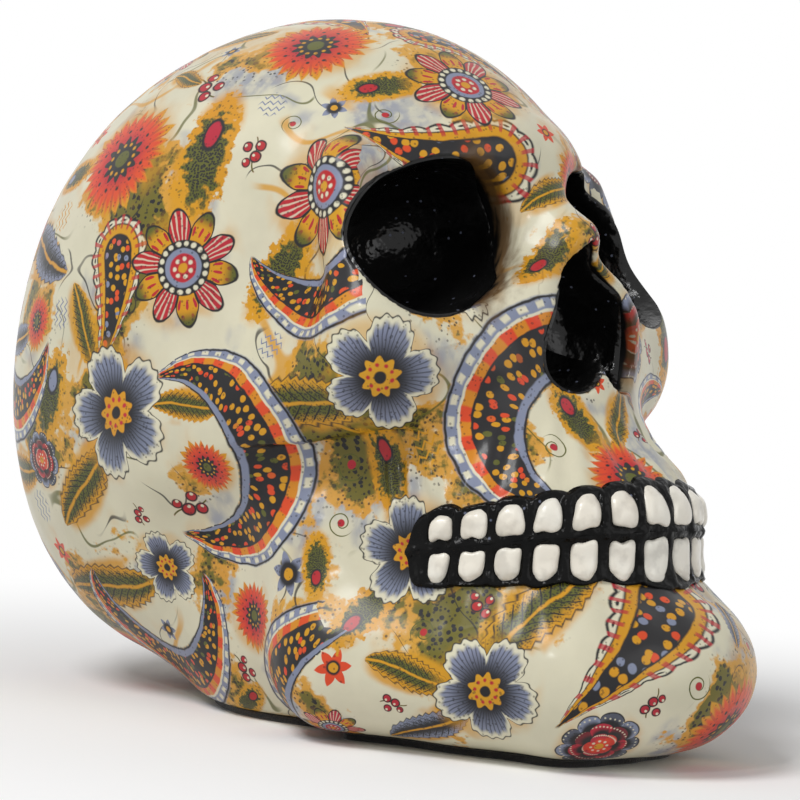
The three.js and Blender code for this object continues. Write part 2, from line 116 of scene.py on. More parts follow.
def mass(at, radii, blend, tilt=0.0, taper=0.0):
    """One rounded mass of the casting: an ellipsoid tilted about X and narrower in front."""
    cos, sin = math.cos(math.radians(tilt)), math.sin(math.radians(tilt))

    def distance(x, y, z):
        py, pz = y - at[1], z - at[2]
        dy = (py * cos - pz * sin) / radii[1]
        dx = (x - at[0]) / (radii[0] * (1 + taper * np.clip(dy, -1, 1)))
        dz = (py * sin + pz * cos) / radii[2]
        reach = np.sqrt(dx * dx + dy * dy + dz * dz)
        slope = np.sqrt((dx / radii[0]) ** 2 + (dy / radii[1]) ** 2 + (dz / radii[2]) ** 2)
        return reach * (reach - 1) / np.maximum(slope, TINY)

    return distance, blend, at[0] != 0


def bar(start, end, radius_start, radius_end, blend):
    """One bony bar of the casting: a round bar whose radius changes from end to end."""
    along = [b - a for a, b in zip(start, end)]
    length_squared = sum(v * v for v in along)

    def distance(x, y, z):
        p = (x - start[0], y - start[1], z - start[2])
        share = (p[0] * along[0] + p[1] * along[1] + p[2] * along[2]) / length_squared
        t = np.clip(share, 0, 1)
        gap = sum((a - b * t) ** 2 for a, b in zip(p, along))
        return np.sqrt(gap) - (radius_start + (radius_end - radius_start) * t)

    return distance, blend, start[0] != 0 or end[0] != 0


def spot(values):
    return [v * HUNDREDTH for v in values]


def lump(at, radii, blend):
    return mass(spot(at), spot(radii), blend * HUNDREDTH)


def rail(start, end, *sizes):
    return bar(spot(start), spot(end), *spot(sizes))


# The casting's forms, as in the part's source: braincase first, then in hundredths of its length
FORMS = [
    mass([0, 38, 99], [63.5, 80, 70], 1, 29, 0.06),
    lump([0, 37.5, 39.4], [35, 34.4, 36.2], 10),
    rail([3.75, -15.6, 87], [22.5, -3.75, 85], 3.75, 3.12, 6.25),
    rail([28.6, -5.4, 82.2], [31.4, -13.2, 63.8], 3.75, 5, 6.25),
    lump([25.6, -15.6, 56.9], [8.12, 7.5, 9.38], 8.75),
    lump([16.9, -18.1, 56.2], [8.12, 8.12, 10.6], 7.5),
    rail([29.4, -12.5, 53.8], [30.6, 22.5, 40], 5.62, 5.62, 11.2),
    rail([0, -14, 82], [0, -26.8, 75], 3.1, 3.6, 3.4),
    rail([4.6, -23.8, 75], [9.6, -26, 63.8], 3.1, 4.4, 4.4),
    lump([0, -13.8, 52.5], [20.6, 20.6, 20], 7.5),
    lump([0, -24.4, 35], [23.1, 22.5, 13.8], 8.75),
    lump([0, -12.5, 35], [27.5, 22.5, 18.8], 8.75),
    lump([0, -44.4, 13.8], [18.8, 15, 12.5], 8.75),
    rail([26.2, -10, 11.2], [13.8, -38.8, 12.5], 8.75, 11.2, 8.75),
    rail([23.8, -8.75, 12.5], [27.5, 5, 45], 7.5, 5.62, 10),
    lump([0, -18.8, 18.8], [25, 25, 22.5], 8.75),
    lump([0, 12.5, 16.2], [27.5, 23.8, 25], 12.5),
]
DENTS = [
    lump([43.1, 3.75, 73.8], [6.25, 11.2, 15], 10),
    lump([10.4, -25, 79.6], [6.2, 7.2, 9], 3.1),
]


def smooth_min(a, b, blend):
    overlap = np.maximum(blend - np.abs(a - b), 0) / blend
    return np.minimum(a, b) - overlap * overlap * blend / 4


def form_distance(form, x, y, z):
    distance, blend, paired = form
    own = distance(x, y, z)
    return smooth_min(own, distance(-x, y, z), blend) if paired else own


def skull_distance(points):
    """How far points are outside the casting's skin, in millimetres."""
    x, y, z = np.abs(points[:, 0]), points[:, 1], points[:, 2]
    d = form_distance(FORMS[0], x, y, z)
    for form in FORMS[1:]:
        d = smooth_min(d, form_distance(form, x, y, z), form[1])
    for form in DENTS:
        d = -smooth_min(-d, form_distance(form, x, y, z), form[1])
    return d


def skin_slope(distance, points):
    """Which way is out of a skin at points, as unit vectors."""
    slope = np.zeros_like(points)
    for axis, shift in enumerate(np.eye(3) * SLOPE_STEP):
        slope[:, axis] = distance(points + shift) - distance(points - shift)
    return slope / np.maximum(np.linalg.norm(slope, axis=1, keepdims=True), TINY)


def skin_reach(start, along, distance=skull_distance):
    """How far out along rays the skin's outermost crossing lies."""
    t = np.full(len(along), REACH)
    live = np.arange(len(along))
    for _ in range(TRACE_STEPS):
        d = distance(start[live] + along[live] * t[live, None])
        t[live] -= np.where(d > 0, np.maximum(d * TRACE_SHARE, NEAR_ENOUGH / 2), d * TRACE_SHARE)
        keep = (np.abs(d) > NEAR_ENOUGH) & (t[live] > 0)
        live = live[keep]
        if not len(live):
            break
    return np.maximum(t, 0)


# Where each tooth of a side starts along the arch of the mouth
PITCHES = np.linspace(TOOTH_PITCH_FRONT, TOOTH_PITCH_BACK, TEETH_A_SIDE)
STARTS = np.concatenate([[0], np.cumsum(PITCHES)])
MOUTH_HALF = STARTS[-1]


def arch_along(turn):
    return np.stack([np.sin(turn), -np.cos(turn), np.zeros_like(turn)], axis=1)


def arch_at(turn, rise):
    along = arch_along(turn)
    start = np.stack([np.zeros_like(turn), np.full_like(turn, -MOUTH_BACK), rise], axis=1)
    return start + along * skin_reach(start, along)[:, None]


# The arch at a few turns from its middle: the way along it, and the height of the bite
ARCH_TURNS = np.radians(np.arange(0.0, ARCH_FURTHEST + ARCH_STEP, ARCH_STEP))
ARCH_POINTS = arch_at(ARCH_TURNS, np.full(len(ARCH_TURNS), BITE_RISE))
ARCH_STEPS = np.linalg.norm(np.diff(ARCH_POINTS, axis=0), axis=1)
ARCH_WAYS = np.concatenate([[0], np.cumsum(ARCH_STEPS)])
ARCH_CLIMB = (ARCH_POINTS[:, 1] + BITE_FORWARD) * math.tan(math.radians(BITE_CLIMB))
ARCH_BITES = BITE_RISE - MOUTH_DROP - ARCH_CLIMB


def mouth_points(way, above, out):
    """Points given by the way along the arch, the height over the bite and the distance out."""
    turn = np.sign(way) * np.interp(np.abs(way), ARCH_WAYS, ARCH_TURNS)
    bite = np.interp(np.abs(turn), ARCH_TURNS, ARCH_BITES)
    return arch_at(turn, bite + above) + arch_along(turn) * out[:, None]


def mouth_places(points):
    """The way along the arch and the height over the bite of points near the mouth."""
    turn = np.arctan2(points[:, 0], -(points[:, 1] + MOUTH_BACK))
    way = np.sign(turn) * np.interp(np.abs(turn), ARCH_TURNS, ARCH_WAYS)
    return way, points[:, 2] - np.interp(np.abs(turn), ARCH_TURNS, ARCH_BITES)


def tooth_height(row, way):
    front, back = TOOTH_HEIGHTS[row]
    return front + (back - front) * np.minimum(1, np.abs(way) / MOUTH_HALF)


def tooth_phase(way):
    """Which tooth of a side a way falls on, and the share of its pitch there."""
    k = np.clip(np.searchsorted(STARTS, np.abs(way), side="right") - 1, 0, TEETH_A_SIDE - 1)
    return k, (np.abs(way) - STARTS[k]) / PITCHES[k]


def soft_step(low, high, value):
    t = np.clip((value - low) / (high - low), 0, 1)
    return t * t * (3 - 2 * t)


def between(start, end, value):
    """1 between two soft edges, each given by where it begins and where it is complete."""
    return soft_step(*start, value) * (1 - soft_step(*end, value))


WAVE_COUNT = 6
WAVE_SPREAD = (0.8, 1.6)


def waves(points, length, seed):
    """A smooth uneven number from about -1 to 1 at points, with lumps about length apart."""
    chance = np.random.default_rng(seed)
    total = np.zeros(len(points))
    for _ in range(WAVE_COUNT):
        way = chance.normal(size=3)
        way *= 2 * math.pi / (length * np.linalg.norm(way) * chance.uniform(*WAVE_SPREAD))
        total += np.sin(points @ way + chance.uniform(0, 2 * math.pi))
    return total / (WAVE_COUNT / 2)


def bell(value, width):
    """1 where a value is 0, falling off smoothly both ways."""
    return np.exp(-((value / width) ** 2))


def side_by_side(*numbers):
    """Points from their separate coordinates."""
    return np.stack(numbers, axis=1)


# Making meshes, of which an edge stays sharp where its faces meet at more than so many degrees
CREASES = {"casting": 75, "lining": 50, "gum": 60, "tooth": 60, "pad": 40}


def deselect():
    if bpy.context.object and bpy.context.object.mode != "OBJECT":
        bpy.ops.object.mode_set(mode="OBJECT")
    bpy.ops.object.select_all(action="DESELECT")


def only(piece):
    deselect()
    piece.select_set(True)
    bpy.context.view_layer.objects.active = piece


def named(name):
    piece = bpy.context.object
    piece.name = name
    piece.data.name = name
    return piece


def edit_all(*steps):
    """Runs edit mode steps on the whole of the active mesh."""
    bpy.ops.object.mode_set(mode="EDIT")
    bpy.ops.mesh.select_all(action="SELECT")
    for step in steps:
        step()
    bpy.ops.object.mode_set(mode="OBJECT")


def points_of(piece):
    flat = np.zeros(len(piece.data.vertices) * 3, np.float32)
    piece.data.vertices.foreach_get("co", flat)
    return flat.reshape(-1, 3).astype(float)


def set_points(piece, points):
    piece.data.vertices.foreach_set("co", (points * MM).astype(np.float32).ravel())
    piece.data.update()


def apply_modifier(piece, kind, **settings):
    only(piece)
    modifier = piece.modifiers.new(kind.title(), kind)
    for key, value in settings.items():
        setattr(modifier, key, value)
    bpy.ops.object.modifier_apply(modifier=modifier.name)


def cut(piece, tool):
    apply_modifier(piece, "BOOLEAN", operation="DIFFERENCE", object=tool, solver="EXACT")
    bpy.data.objects.remove(tool)


def smooth_faces(piece, degrees):
    only(piece)
    bpy.ops.object.shade_smooth_by_angle(angle=math.radians(degrees))


def grid_piece(name, across, along):
    """A grid primitive, with each vertex's share across and along it from 0 to 1."""
    deselect()
    bpy.ops.mesh.primitive_grid_add(x_subdivisions=across, y_subdivisions=along, size=2)
    piece = named(name)
    return piece, (points_of(piece) + 1) / 2


def outside_out():
    bpy.ops.mesh.normals_make_consistent(inside=False)


def weld(piece, gap=0.02):
    """Closes the seams and poles of a piece and turns its faces out."""
    only(piece)
    edit_all(lambda: bpy.ops.mesh.remove_doubles(threshold=gap * MM), outside_out)


def face_sheet(piece, middle, inward):
    """Turns an open sheet's faces so that they look at a point, or away from it."""
    faces = piece.data.polygons
    looks = sum((Vector(middle * MM) - face.center).dot(face.normal) for face in faces)
    if (looks < 0) == inward:
        only(piece)
        edit_all(bpy.ops.mesh.flip_normals)


def dress(piece, material, slot, *nodes):
    """Gives a piece its finish, hangs it under the body's empty and hides the CAD nodes that it stands for."""
    piece.data.materials.clear()
    piece.data.materials.append(material)
    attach(piece, BODY)
    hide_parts(*nodes)


# Sockets and nose, each in its own upright frame: across, into the face, up
def socket_turn(side):
    swing = Matrix.Rotation(math.radians(side * EYE_OUTWARD), 3, "Z")
    lift = Matrix.Rotation(math.radians(-EYE_UPWARD), 3, "X")
    return np.array(swing @ lift @ Matrix.Rotation(math.radians(side * EYE_DROOP), 3, "Y"))


def socket_place(side):
    return np.array([side * EYE_APART / 2, -EYE_FORWARD, EYE_RISE])


def eye_outline(angle, grow):
    cos, sin = np.cos(angle), np.sin(angle)
    power = np.abs(cos) ** EYE_SQUARE + np.abs(sin) ** EYE_SQUARE
    reach = power ** (-1 / EYE_SQUARE)
    up = sin * reach * (EYE_HEIGHT / 2 + grow)
    return cos * reach * (EYE_WIDTH / 2 + grow), np.where(up > 0, up * EYE_BROW, up)


def eye_taper(share):
    return np.sqrt(np.maximum(0, 1 - share ** EYE_SQUARE))


def bezier(a, b, c, d, t):
    s = 1 - t
    return s**3 * a + 3 * s * s * t * b + 3 * s * t * t * c + t**3 * d


# Handles of the nose outline, as shares of its half width and half height, from its point to its cusp
NOSE_POINT = (0.3, 0.7)
NOSE_FLANK, NOSE_WIDEST, NOSE_LOBE, NOSE_LOBE_WIDTH = 0.1, -0.5, -1.15, 0.25
NOSE_STEPS = 40
NOSE_CLOSING = 0.85


def nose_half(grow):
    """One half of the heart outline, from its point at the top to the cusp at the bottom."""
    wide, top = NOSE_WIDTH / 2 + grow, NOSE_HEIGHT / 2 + grow
    cusp = -NOSE_HEIGHT / 2 + NOSE_CUSP - grow
    t = np.linspace(0, 1, NOSE_STEPS)
    upper_x = bezier(0, wide * NOSE_POINT[0], wide, wide, t)
    upper_y = bezier(top, top * NOSE_POINT[1], top * NOSE_FLANK, top * NOSE_WIDEST, t)
    lower_x = bezier(wide, wide, wide * NOSE_LOBE_WIDTH, 0, t)
    lower_y = bezier(top * NOSE_WIDEST, top * NOSE_LOBE, top * NOSE_LOBE, cusp, t)
    return np.concatenate([upper_x, lower_x[1:]]), np.concatenate([upper_y, lower_y[1:]])


def nose_outline(angle, grow):
    """The heart outline at angles from the across axis."""
    x, y = nose_half(grow)
    from_top = np.arctan2(x, y)
    reach = np.hypot(x, y)
    order = np.argsort(from_top)
    turned = np.abs(np.arctan2(np.cos(angle), np.sin(angle)))
    r = np.interp(turned, from_top[order], reach[order])
    return np.cos(angle) * r, np.sin(angle) * r


def nose_taper(share):
    ending = np.maximum(0, (share - NOSE_CLOSING) / (1 - NOSE_CLOSING))
    closing = np.sqrt(np.maximum(0, 1 - ending**2))
    return (1 - (1 - NOSE_NARROW) * share * share) * closing


# Each hole's outline, how it narrows, its depth, and how it is turned and placed
NOSE_PLACE = np.array([0, -NOSE_FORWARD, NOSE_RISE])
HOLES = {
    f"{name}_eye_socket": (eye_outline, eye_taper, EYE_DEPTH, socket_turn(side), socket_place(side))
    for name, side in SIDES.items()
}
HOLES["nasal_cavity"] = (nose_outline, nose_taper, NOSE_DEPTH, np.eye(3), NOSE_PLACE)
CUTTER_OUT = 60.0
CUTTER_AROUND, CUTTER_RINGS = 96, 48
BEYOND_END = 2.0
FAR = 99.0
POLE = 0.999


def hole_cutter(name, grow):
    """A sphere drawn out into the solid that a hole takes away, from outside the skin to its end."""
    outline, taper, depth, turn, place = HOLES[name]
    deselect()
    bpy.ops.mesh.primitive_uv_sphere_add(segments=CUTTER_AROUND, ring_count=CUTTER_RINGS, radius=1)
    piece = named(name + "_cutter")
    p = points_of(piece)
    angle = np.arctan2(p[:, 1], p[:, 0])
    lift = np.arcsin(np.clip(p[:, 2], -1, 1)) / (math.pi / 2)
    share = np.sin(np.maximum(0, -lift) * math.pi / 2)
    into = np.where(lift > 0, -lift * CUTTER_OUT, share * (depth + grow))
    wide = np.where(lift > 0, np.where(lift > POLE, 0, 1), taper(share))
    across, up = outline(angle, grow)
    set_points(piece, side_by_side(across * wide, into, up * wide) @ turn.T + place)
    weld(piece)
    return piece


def hole_distance(name, points):
    """How far points lie outside a hole's outline, the way round it, and how far into the face."""
    outline, _, depth, turn, place = HOLES[name]
    local = (points - place) @ turn
    angle = np.arctan2(local[:, 2], local[:, 0])
    across, up = outline(angle, 0)
    gap = np.hypot(local[:, 0], local[:, 2]) - np.hypot(across, up)
    return np.where(local[:, 1] > depth + BEYOND_END, FAR, gap), angle, local[:, 1]


# Laying out shader sums as nodes
class Ink:
    """A number that a shader works out, used in sums like any other number."""

    def __init__(self, board, socket):
        self.board = board
        self.socket = socket

    def do(self, operation, *others):
        return self.board.math(operation, self, *others)

    def __add__(self, other):
        return self.do("ADD", other)

    __radd__ = __add__

    def __mul__(self, other):
        return self.do("MULTIPLY", other)

    __rmul__ = __mul__

    def __sub__(self, other):
        return self.do("SUBTRACT", other)

    def __rsub__(self, other):
        return self.board.math("SUBTRACT", other, self)

    def __truediv__(self, other):
        return self.do("DIVIDE", other)

    def __pow__(self, other):
        return self.do("POWER", other)

    def __abs__(self):
        return self.do("ABSOLUTE")

    def fraction(self):
        return self.do("FRACT")

    def floor(self):
        return self.do("FLOOR")

    def sine(self):
        return self.do("SINE")

    def cosine(self):
        return self.do("COSINE")

    def least(self, other):
        return self.do("MINIMUM", other)

    def most(self, other):
        return self.do("MAXIMUM", other)

    def under(self, edge, soft=0.02):
        """1 where the number is under an edge, 0 where it is over."""
        return self.board.ramp(self, edge, soft, 1, 0)

    def over(self, edge, soft=0.02):
        return self.board.ramp(self, edge, soft, 0, 1)

    def near(self, middle, half, soft=0.01):
        return abs(self - middle).under(half, soft)


class Board:
    """The node tree of a material or group, on which sums and mixes of colour are laid out."""

    def __init__(self, tree):
        self.tree = tree

    def node(self, kind, **settings):
        made = self.tree.nodes.new("ShaderNode" + kind)
        for key, value in settings.items():
            setattr(made, key, value)
        return made

    def plug(self, socket, value):
        source = value.socket if isinstance(value, Ink) else value
        if isinstance(source, bpy.types.NodeSocket):
            self.tree.links.new(source, socket)
        else:
            socket.default_value = source

    def math(self, operation, *values):
        made = self.node("Math", operation=operation)
        for socket, value in zip(made.inputs, values):
            self.plug(socket, value)
        return Ink(self, made.outputs[0])

    def ramp(self, value, edge, soft, low, high):
        made = self.node("MapRange", interpolation_type="SMOOTHSTEP")
        self.plug(made.inputs["Value"], value)
        self.plug(made.inputs["From Min"], edge - soft)
        self.plug(made.inputs["From Max"], edge + soft)
        self.plug(made.inputs["To Min"], float(low))
        self.plug(made.inputs["To Max"], float(high))
        return Ink(self, made.outputs["Result"])

    def blend(self, share, low, high):
        """A mix of two colours: a Mix node set to colours has them at its sockets 6, 7 and 2."""
        made = self.node("Mix", data_type="RGBA", clamp_factor=True)
        for number, value in ((0, share), (6, low), (7, high)):
            self.plug(made.inputs[number], value)
        return made.outputs[2]

    def parts(self, vector):
        made = self.node("SeparateXYZ")
        self.plug(made.inputs[0], vector)
        return [Ink(self, socket) for socket in made.outputs]

    def vector(self, x, y, z=0.0):
        made = self.node("CombineXYZ")
        for socket, value in zip(made.inputs, (x, y, z)):
            self.plug(socket, value)
        return made.outputs[0]

    def noise(self, place, scale, detail=2.0, rough=0.5):
        made = self.node("TexNoise")
        self.plug(made.inputs["Vector"], place)
        self.plug(made.inputs["Scale"], scale)
        made.inputs["Detail"].default_value = detail
        made.inputs["Roughness"].default_value = rough
        return Ink(self, made.outputs["Fac"])

    def shaken(self, vector, place, scale, amount):
        """A flat place, moved about a little by noise."""
        shake = self.node("TexNoise")
        self.plug(shake.inputs["Vector"], place)
        shake.inputs["Scale"].default_value = scale
        made = self.node("VectorMath", operation="MULTIPLY_ADD")
        self.plug(made.inputs[0], shake.outputs["Color"])
        made.inputs[1].default_value = (amount, amount, 0)
        self.plug(made.inputs[2], vector)
        return made.outputs[0]

    def stretched(self, place, x, y, z):
        made = self.node("VectorMath", operation="MULTIPLY")
        self.plug(made.inputs[0], place)
        made.inputs[1].default_value = (x, y, z)
        return made.outputs[0]

    def cells(self, place, scale, flat=True):
        """Scattered points: the distance to the nearest one, and that one's own random colour."""
        made = self.node("TexVoronoi", voronoi_dimensions="2D" if flat else "3D")
        self.plug(made.inputs["Vector"], place)
        self.plug(made.inputs["Scale"], scale)
        return Ink(self, made.outputs["Distance"]), made.outputs["Color"]

    def attribute(self, name):
        return self.node("Attribute", attribute_name=name, attribute_type="GEOMETRY")

    def use(self, group, **values):
        """Places a shared effect with its own values."""
        made = self.node("Group", node_tree=group)
        for label, value in values.items():
            self.plug(made.inputs[label], value)
        return Ink(self, made.outputs[0])

    def patches(self, place, scale, edge, soft):
        return self.use(mottle(), Place=place, Scale=scale, Edge=edge, Soft=soft)

    def specked(self, place, scale, radius, share):
        return self.use(specks(), Place=place, Scale=scale, Radius=radius, Share=share)

    def where(self):
        return self.node("TexCoord").outputs["Object"]

    def bump(self, height, distance, strength=1.0):
        made = self.node("Bump")
        made.inputs["Strength"].default_value = strength
        made.inputs["Distance"].default_value = distance
        self.plug(made.inputs["Height"], height)
        return made.outputs["Normal"]


class Picture:
    """A colour in the making: each coat goes over what is there already, where its mask is 1."""

    def __init__(self, board, ground):
        self.board = board
        self.colour = as_drawn(ground)

    def coat(self, mask, over):
        self.colour = self.board.blend(mask, self.colour, as_drawn(over))
        return self

    def disc(self, reach, radius, over):
        return self.coat(reach.under(radius, SHARP), over)


def as_drawn(colour):
    """A colour that is given by its name, or one that is drawn already."""
    return tint(colour) if isinstance(colour, str) else colour


def new_material(name, **surface):
    """A material whose shader gets the plain values of its surface, and the board to paint on."""
    material = bpy.data.materials.new(name)
    material.use_nodes = True
    shader = material.node_tree.nodes["Principled BSDF"]
    for key, value in surface.items():
        shader.inputs[key.replace("_", " ").title().replace("Ior", "IOR")].default_value = value
    return material, Board(material.node_tree), shader


def new_group(name, inputs, outputs):
    """A shader node group with its input and output nodes."""
    tree = bpy.data.node_groups.new(name, "ShaderNodeTree")
    for label, kind in inputs:
        tree.interface.new_socket(label, in_out="INPUT", socket_type="NodeSocket" + kind)
    for label, kind in outputs:
        tree.interface.new_socket(label, in_out="OUTPUT", socket_type="NodeSocket" + kind)
    return tree, Board(tree), tree.nodes.new("NodeGroupInput"), tree.nodes.new("NodeGroupOutput")


def srgb(red, green, blue):
    """A colour given as on screen, from 0 to 255, as the light it stands for."""
    shares = [v / 255 for v in (red, green, blue)]
    return tuple(v / 12.92 if v <= 0.04045 else ((v + 0.055) / 1.055) ** 2.4 for v in shares)


# The sizes and colours that a user would change
def length_of(label, about, value):
    return FloatProperty(name=label, description=about, default=value * MM, min=0, unit="LENGTH", precision=5)


def colour_of(label, about, *screen):
    return FloatVectorProperty(
        name=label, description=about, default=srgb(*screen), size=3, min=0, max=1, subtype="COLOR"
    )


def count_of(label, about, value):
    return IntProperty(name=label, description=about, default=value, min=1)


class SkullSizes(bpy.types.PropertyGroup):
    """How finely the pieces are shaped, and how the print is scattered."""

    grain: length_of("Grain", "Edge length of the casting's mesh", 1.3)
    skin_inset: length_of("Skin Inset", "How far the printed skin lies inside the CAD skin", 0.25)
    foot_round: length_of("Foot Round", "Rounding of the edge of the flat base", 2.0)
    root_swell: length_of("Root Swell", "Height of the ridges over the roots of the teeth", 0.9)
    lining_wall: length_of("Lining Wall", "Thickness of the black socket linings", 0.7)
    gum_wall: length_of("Gum Wall", "Thickness of the gum bands behind their face", 2.0)
    tooth_cuts: count_of("Tooth Cuts", "Cuts along each side of a tooth", 9)
    print_seed: count_of("Print Seed", "Which scatter of the print is drawn", 11)


class SkullColours(bpy.types.PropertyGroup):
    """Colours of the print and the other finishes."""

    ivory: colour_of("Ivory", "Ground of the print", 210, 205, 180)
    olive: colour_of("Olive", "Leaves", 86, 88, 30)
    mustard: colour_of("Mustard", "Halos and petals", 200, 143, 28)
    crimson: colour_of("Crimson", "Petals and berries", 172, 34, 44)
    vermilion: colour_of("Vermilion", "Suns and ribbons", 208, 72, 34)
    lilac: colour_of("Lilac", "Ruffled petals and lanes", 124, 131, 153)
    charcoal: colour_of("Charcoal", "Outlines and dark grounds", 27, 26, 28)
    lacquer: colour_of("Lacquer", "Sockets and gums", 10, 10, 10)
    umber: colour_of("Umber", "Black paint where it fades out over the print", 92, 66, 36)
    enamel: colour_of("Enamel", "Teeth", 231, 228, 217)
    resin: colour_of("Resin", "Bare casting resin of the base plate", 168, 158, 138)
    felt: colour_of("Felt", "Pad under the base", 30, 29, 31)


def tint(name):
    return (*getattr(bpy.context.scene.skull_colours, name), 1.0)


def size(name):
    return getattr(bpy.context.scene.skull_sizes, name) / MM


# Casting: how finely it starts, how its rims are smoothed, and where its skin is laid back on its true shape
CASTING_CUTS = 119
ROUND = np.linspace(-math.pi, math.pi, 181)
RIM_SMOOTH, RIM_ROUNDS, RIM_CLEAR = 1.6, 3, 0.8
INNER_RIM, INNER_ROUNDS, INNER_CLEAR = 8.0, 55, 7.0
FADED = (0.4, 0.6)
WALL_LEAN = 3.0
WALL_END = (2, 5)
SKIN_SNAP, SKIN_EASE = 1.5, 2.2
FOOT_PLAIN = (4, 9)
BOX_MARGIN = 0.1
CAST_WAVES = ((0.12, 22, 3), (0.05, 9, 4))

# The stretches of the way round a hole over which black paint fades out, and how much of it does
EYE_FADE = (0.15, 0.85)
NOSE_TOP_FADE, NOSE_TOP_SHARE = (0.3, 0.9), 0.2
NOSE_SIDE_FADE, NOSE_SIDE_SHARE, NOSE_SIDE_TURN = (0.5, 0.95), 0.4, 0.6

# Ridges over the roots of the teeth, from the gum on
ROOT_SUNK = 0.4
ROOT_START, ROOT_ENDS = (9, 14), {"upper": (17, 31), "lower": (15, 27)}
ROOT_SHARES = {"upper": 1.0, "lower": 0.6}
ROOT_ROW_END = (MOUTH_HALF - 8, MOUTH_HALF + 2)

# Recess for the base plate
PLATE_AROUND = 96
PLATE_SIZE = [edge / MM for edge in Vector(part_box("base_plate")[1]) - Vector(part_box("base_plate")[0])]

# Undercut below the cheek arch: the line it follows, and its soft edges along, below and away from that
CHEEK_LEDGE = np.array([
    [60, 12, 65.5],
    [58.4, 4.3, 66.7],
    [54.9, -5, 68],
    [51.7, -10.4, 68.7],
    [49, -17.1, 70.7],
    [48.3, -25.4, 72.8],
    [44.8, -31.3, 73.8],
    [39.4, -36.7, 73.9],
])
LEDGE_DEPTH = 3.2
LEDGE_STRETCHES = len(CHEEK_LEDGE) - 1
LEDGE_START, LEDGE_STOP = (0, 2), (LEDGE_STRETCHES - 1.2, LEDGE_STRETCHES)
LEDGE_EDGE, LEDGE_FOOT, LEDGE_AWAY = (-0.7, 1.0), (4, 22), (14, 24)
LIP_HEIGHT, LIP_RISE, LIP_WIDTH = 0.2, 1.6, 1.8

# Folds that run down from it to the corner of the mouth, leaning back, and the area that they fill
CHEEK_FOLDS = (-25.2, -30.5, -36.0)
FOLD_TOP, FOLD_LEAN, FOLD_HEIGHT, FOLD_WIDTH, FOLD_SUNK = 68.0, 0.38, 2.0, 1.5, 0.35
FOLDS_LOW, FOLDS_HIGH, FOLDS_OUT = (46, 52), (64, 70), (34, 39)
FOLDS_FRONT, FOLDS_BACK = (-43, -39), (-24, -20)
GUM_PAST, GUM_OVER = (MOUTH_HALF + 3, MOUTH_HALF + 6), (11, 14)


def casting_distance(points):
    """How far points are outside the printed skin, which is cut flat at its base."""
    skin = skull_distance(points) + size("skin_inset")
    return -smooth_min(-skin, points[:, 2] - BASE_RISE, size("foot_round"))


def rim_depth(name, angle):
    """How far into the face the rim of a hole lies, at places round it."""
    outline, _, depth, turn, place = HOLES[name]
    across, up = outline(angle, 0)
    foot = side_by_side(across, np.full_like(across, depth), up) @ turn.T + place
    outward = np.tile(turn @ np.array([0, -1, 0]), (len(angle), 1))
    return depth - skin_reach(foot, outward, casting_distance)


def rim_places(points):
    """How far points lie out from the rim of the nearest hole along the skin, or less than 0 down its
    wall, and how much they lie on the side of it where black paint fades out."""
    sunk = np.maximum(0, -casting_distance(points))
    gaps, rims, fades = [], [], []
    for name in HOLES:
        gap, angle, into = hole_distance(name, points)
        down = np.clip(into - np.interp(angle, ROUND, rim_depth(name, ROUND)), 0, WALL_LEAN * sunk)
        gaps.append(gap)
        rims.append(gap - down * (1 - soft_step(*WALL_END, gap)))
        fades.append(paint_fade(name, angle))
    nearest = np.argmin(gaps, axis=0)
    pick = np.arange(len(points))
    return np.array(rims)[nearest, pick], np.array(fades)[nearest, pick]


def paint_fade(name, angle):
    """Black paint fades out on the inner side of each eye and, less, at the top and one side of the nose."""
    if name == "nasal_cavity":
        top = NOSE_TOP_SHARE * soft_step(*NOSE_TOP_FADE, np.sin(angle))
        return top + NOSE_SIDE_SHARE * soft_step(*NOSE_SIDE_FADE, np.cos(angle + NOSE_SIDE_TURN))
    side = SIDES[name.split("_")[0]]
    return soft_step(*EYE_FADE, -side * np.cos(angle - side * math.radians(EYE_DROOP)))


def plate_recess():
    """An elliptical cylinder that makes room in the base for its plate."""
    deselect()
    bpy.ops.mesh.primitive_cylinder_add(vertices=PLATE_AROUND, radius=0.5, depth=2)
    piece = named("plate_recess")
    room = np.array([PLATE_SIZE[0] + 2 * FIT, PLATE_SIZE[1] + 2 * FIT, PLATE_SIZE[2] + FIT])
    set_points(piece, points_of(piece) * room + np.array([0, 0, BASE_RISE]))
    return piece


def root_ridges(points):
    """Low ridges over the roots of the teeth, above the upper gum and, fainter, below the lower one."""
    way, above = mouth_places(points)
    _, share = tooth_phase(way)
    ridge = np.sin(np.pi * share) ** 2 - ROOT_SUNK
    row_end = 1 - soft_step(*ROOT_ROW_END, np.abs(way))
    rows = sum(
        between(ROOT_START, ROOT_ENDS[name], row * above) * ROOT_SHARES[name]
        for name, row in ROWS.items()
    )
    return size("root_swell") * ridge * row_end * rows


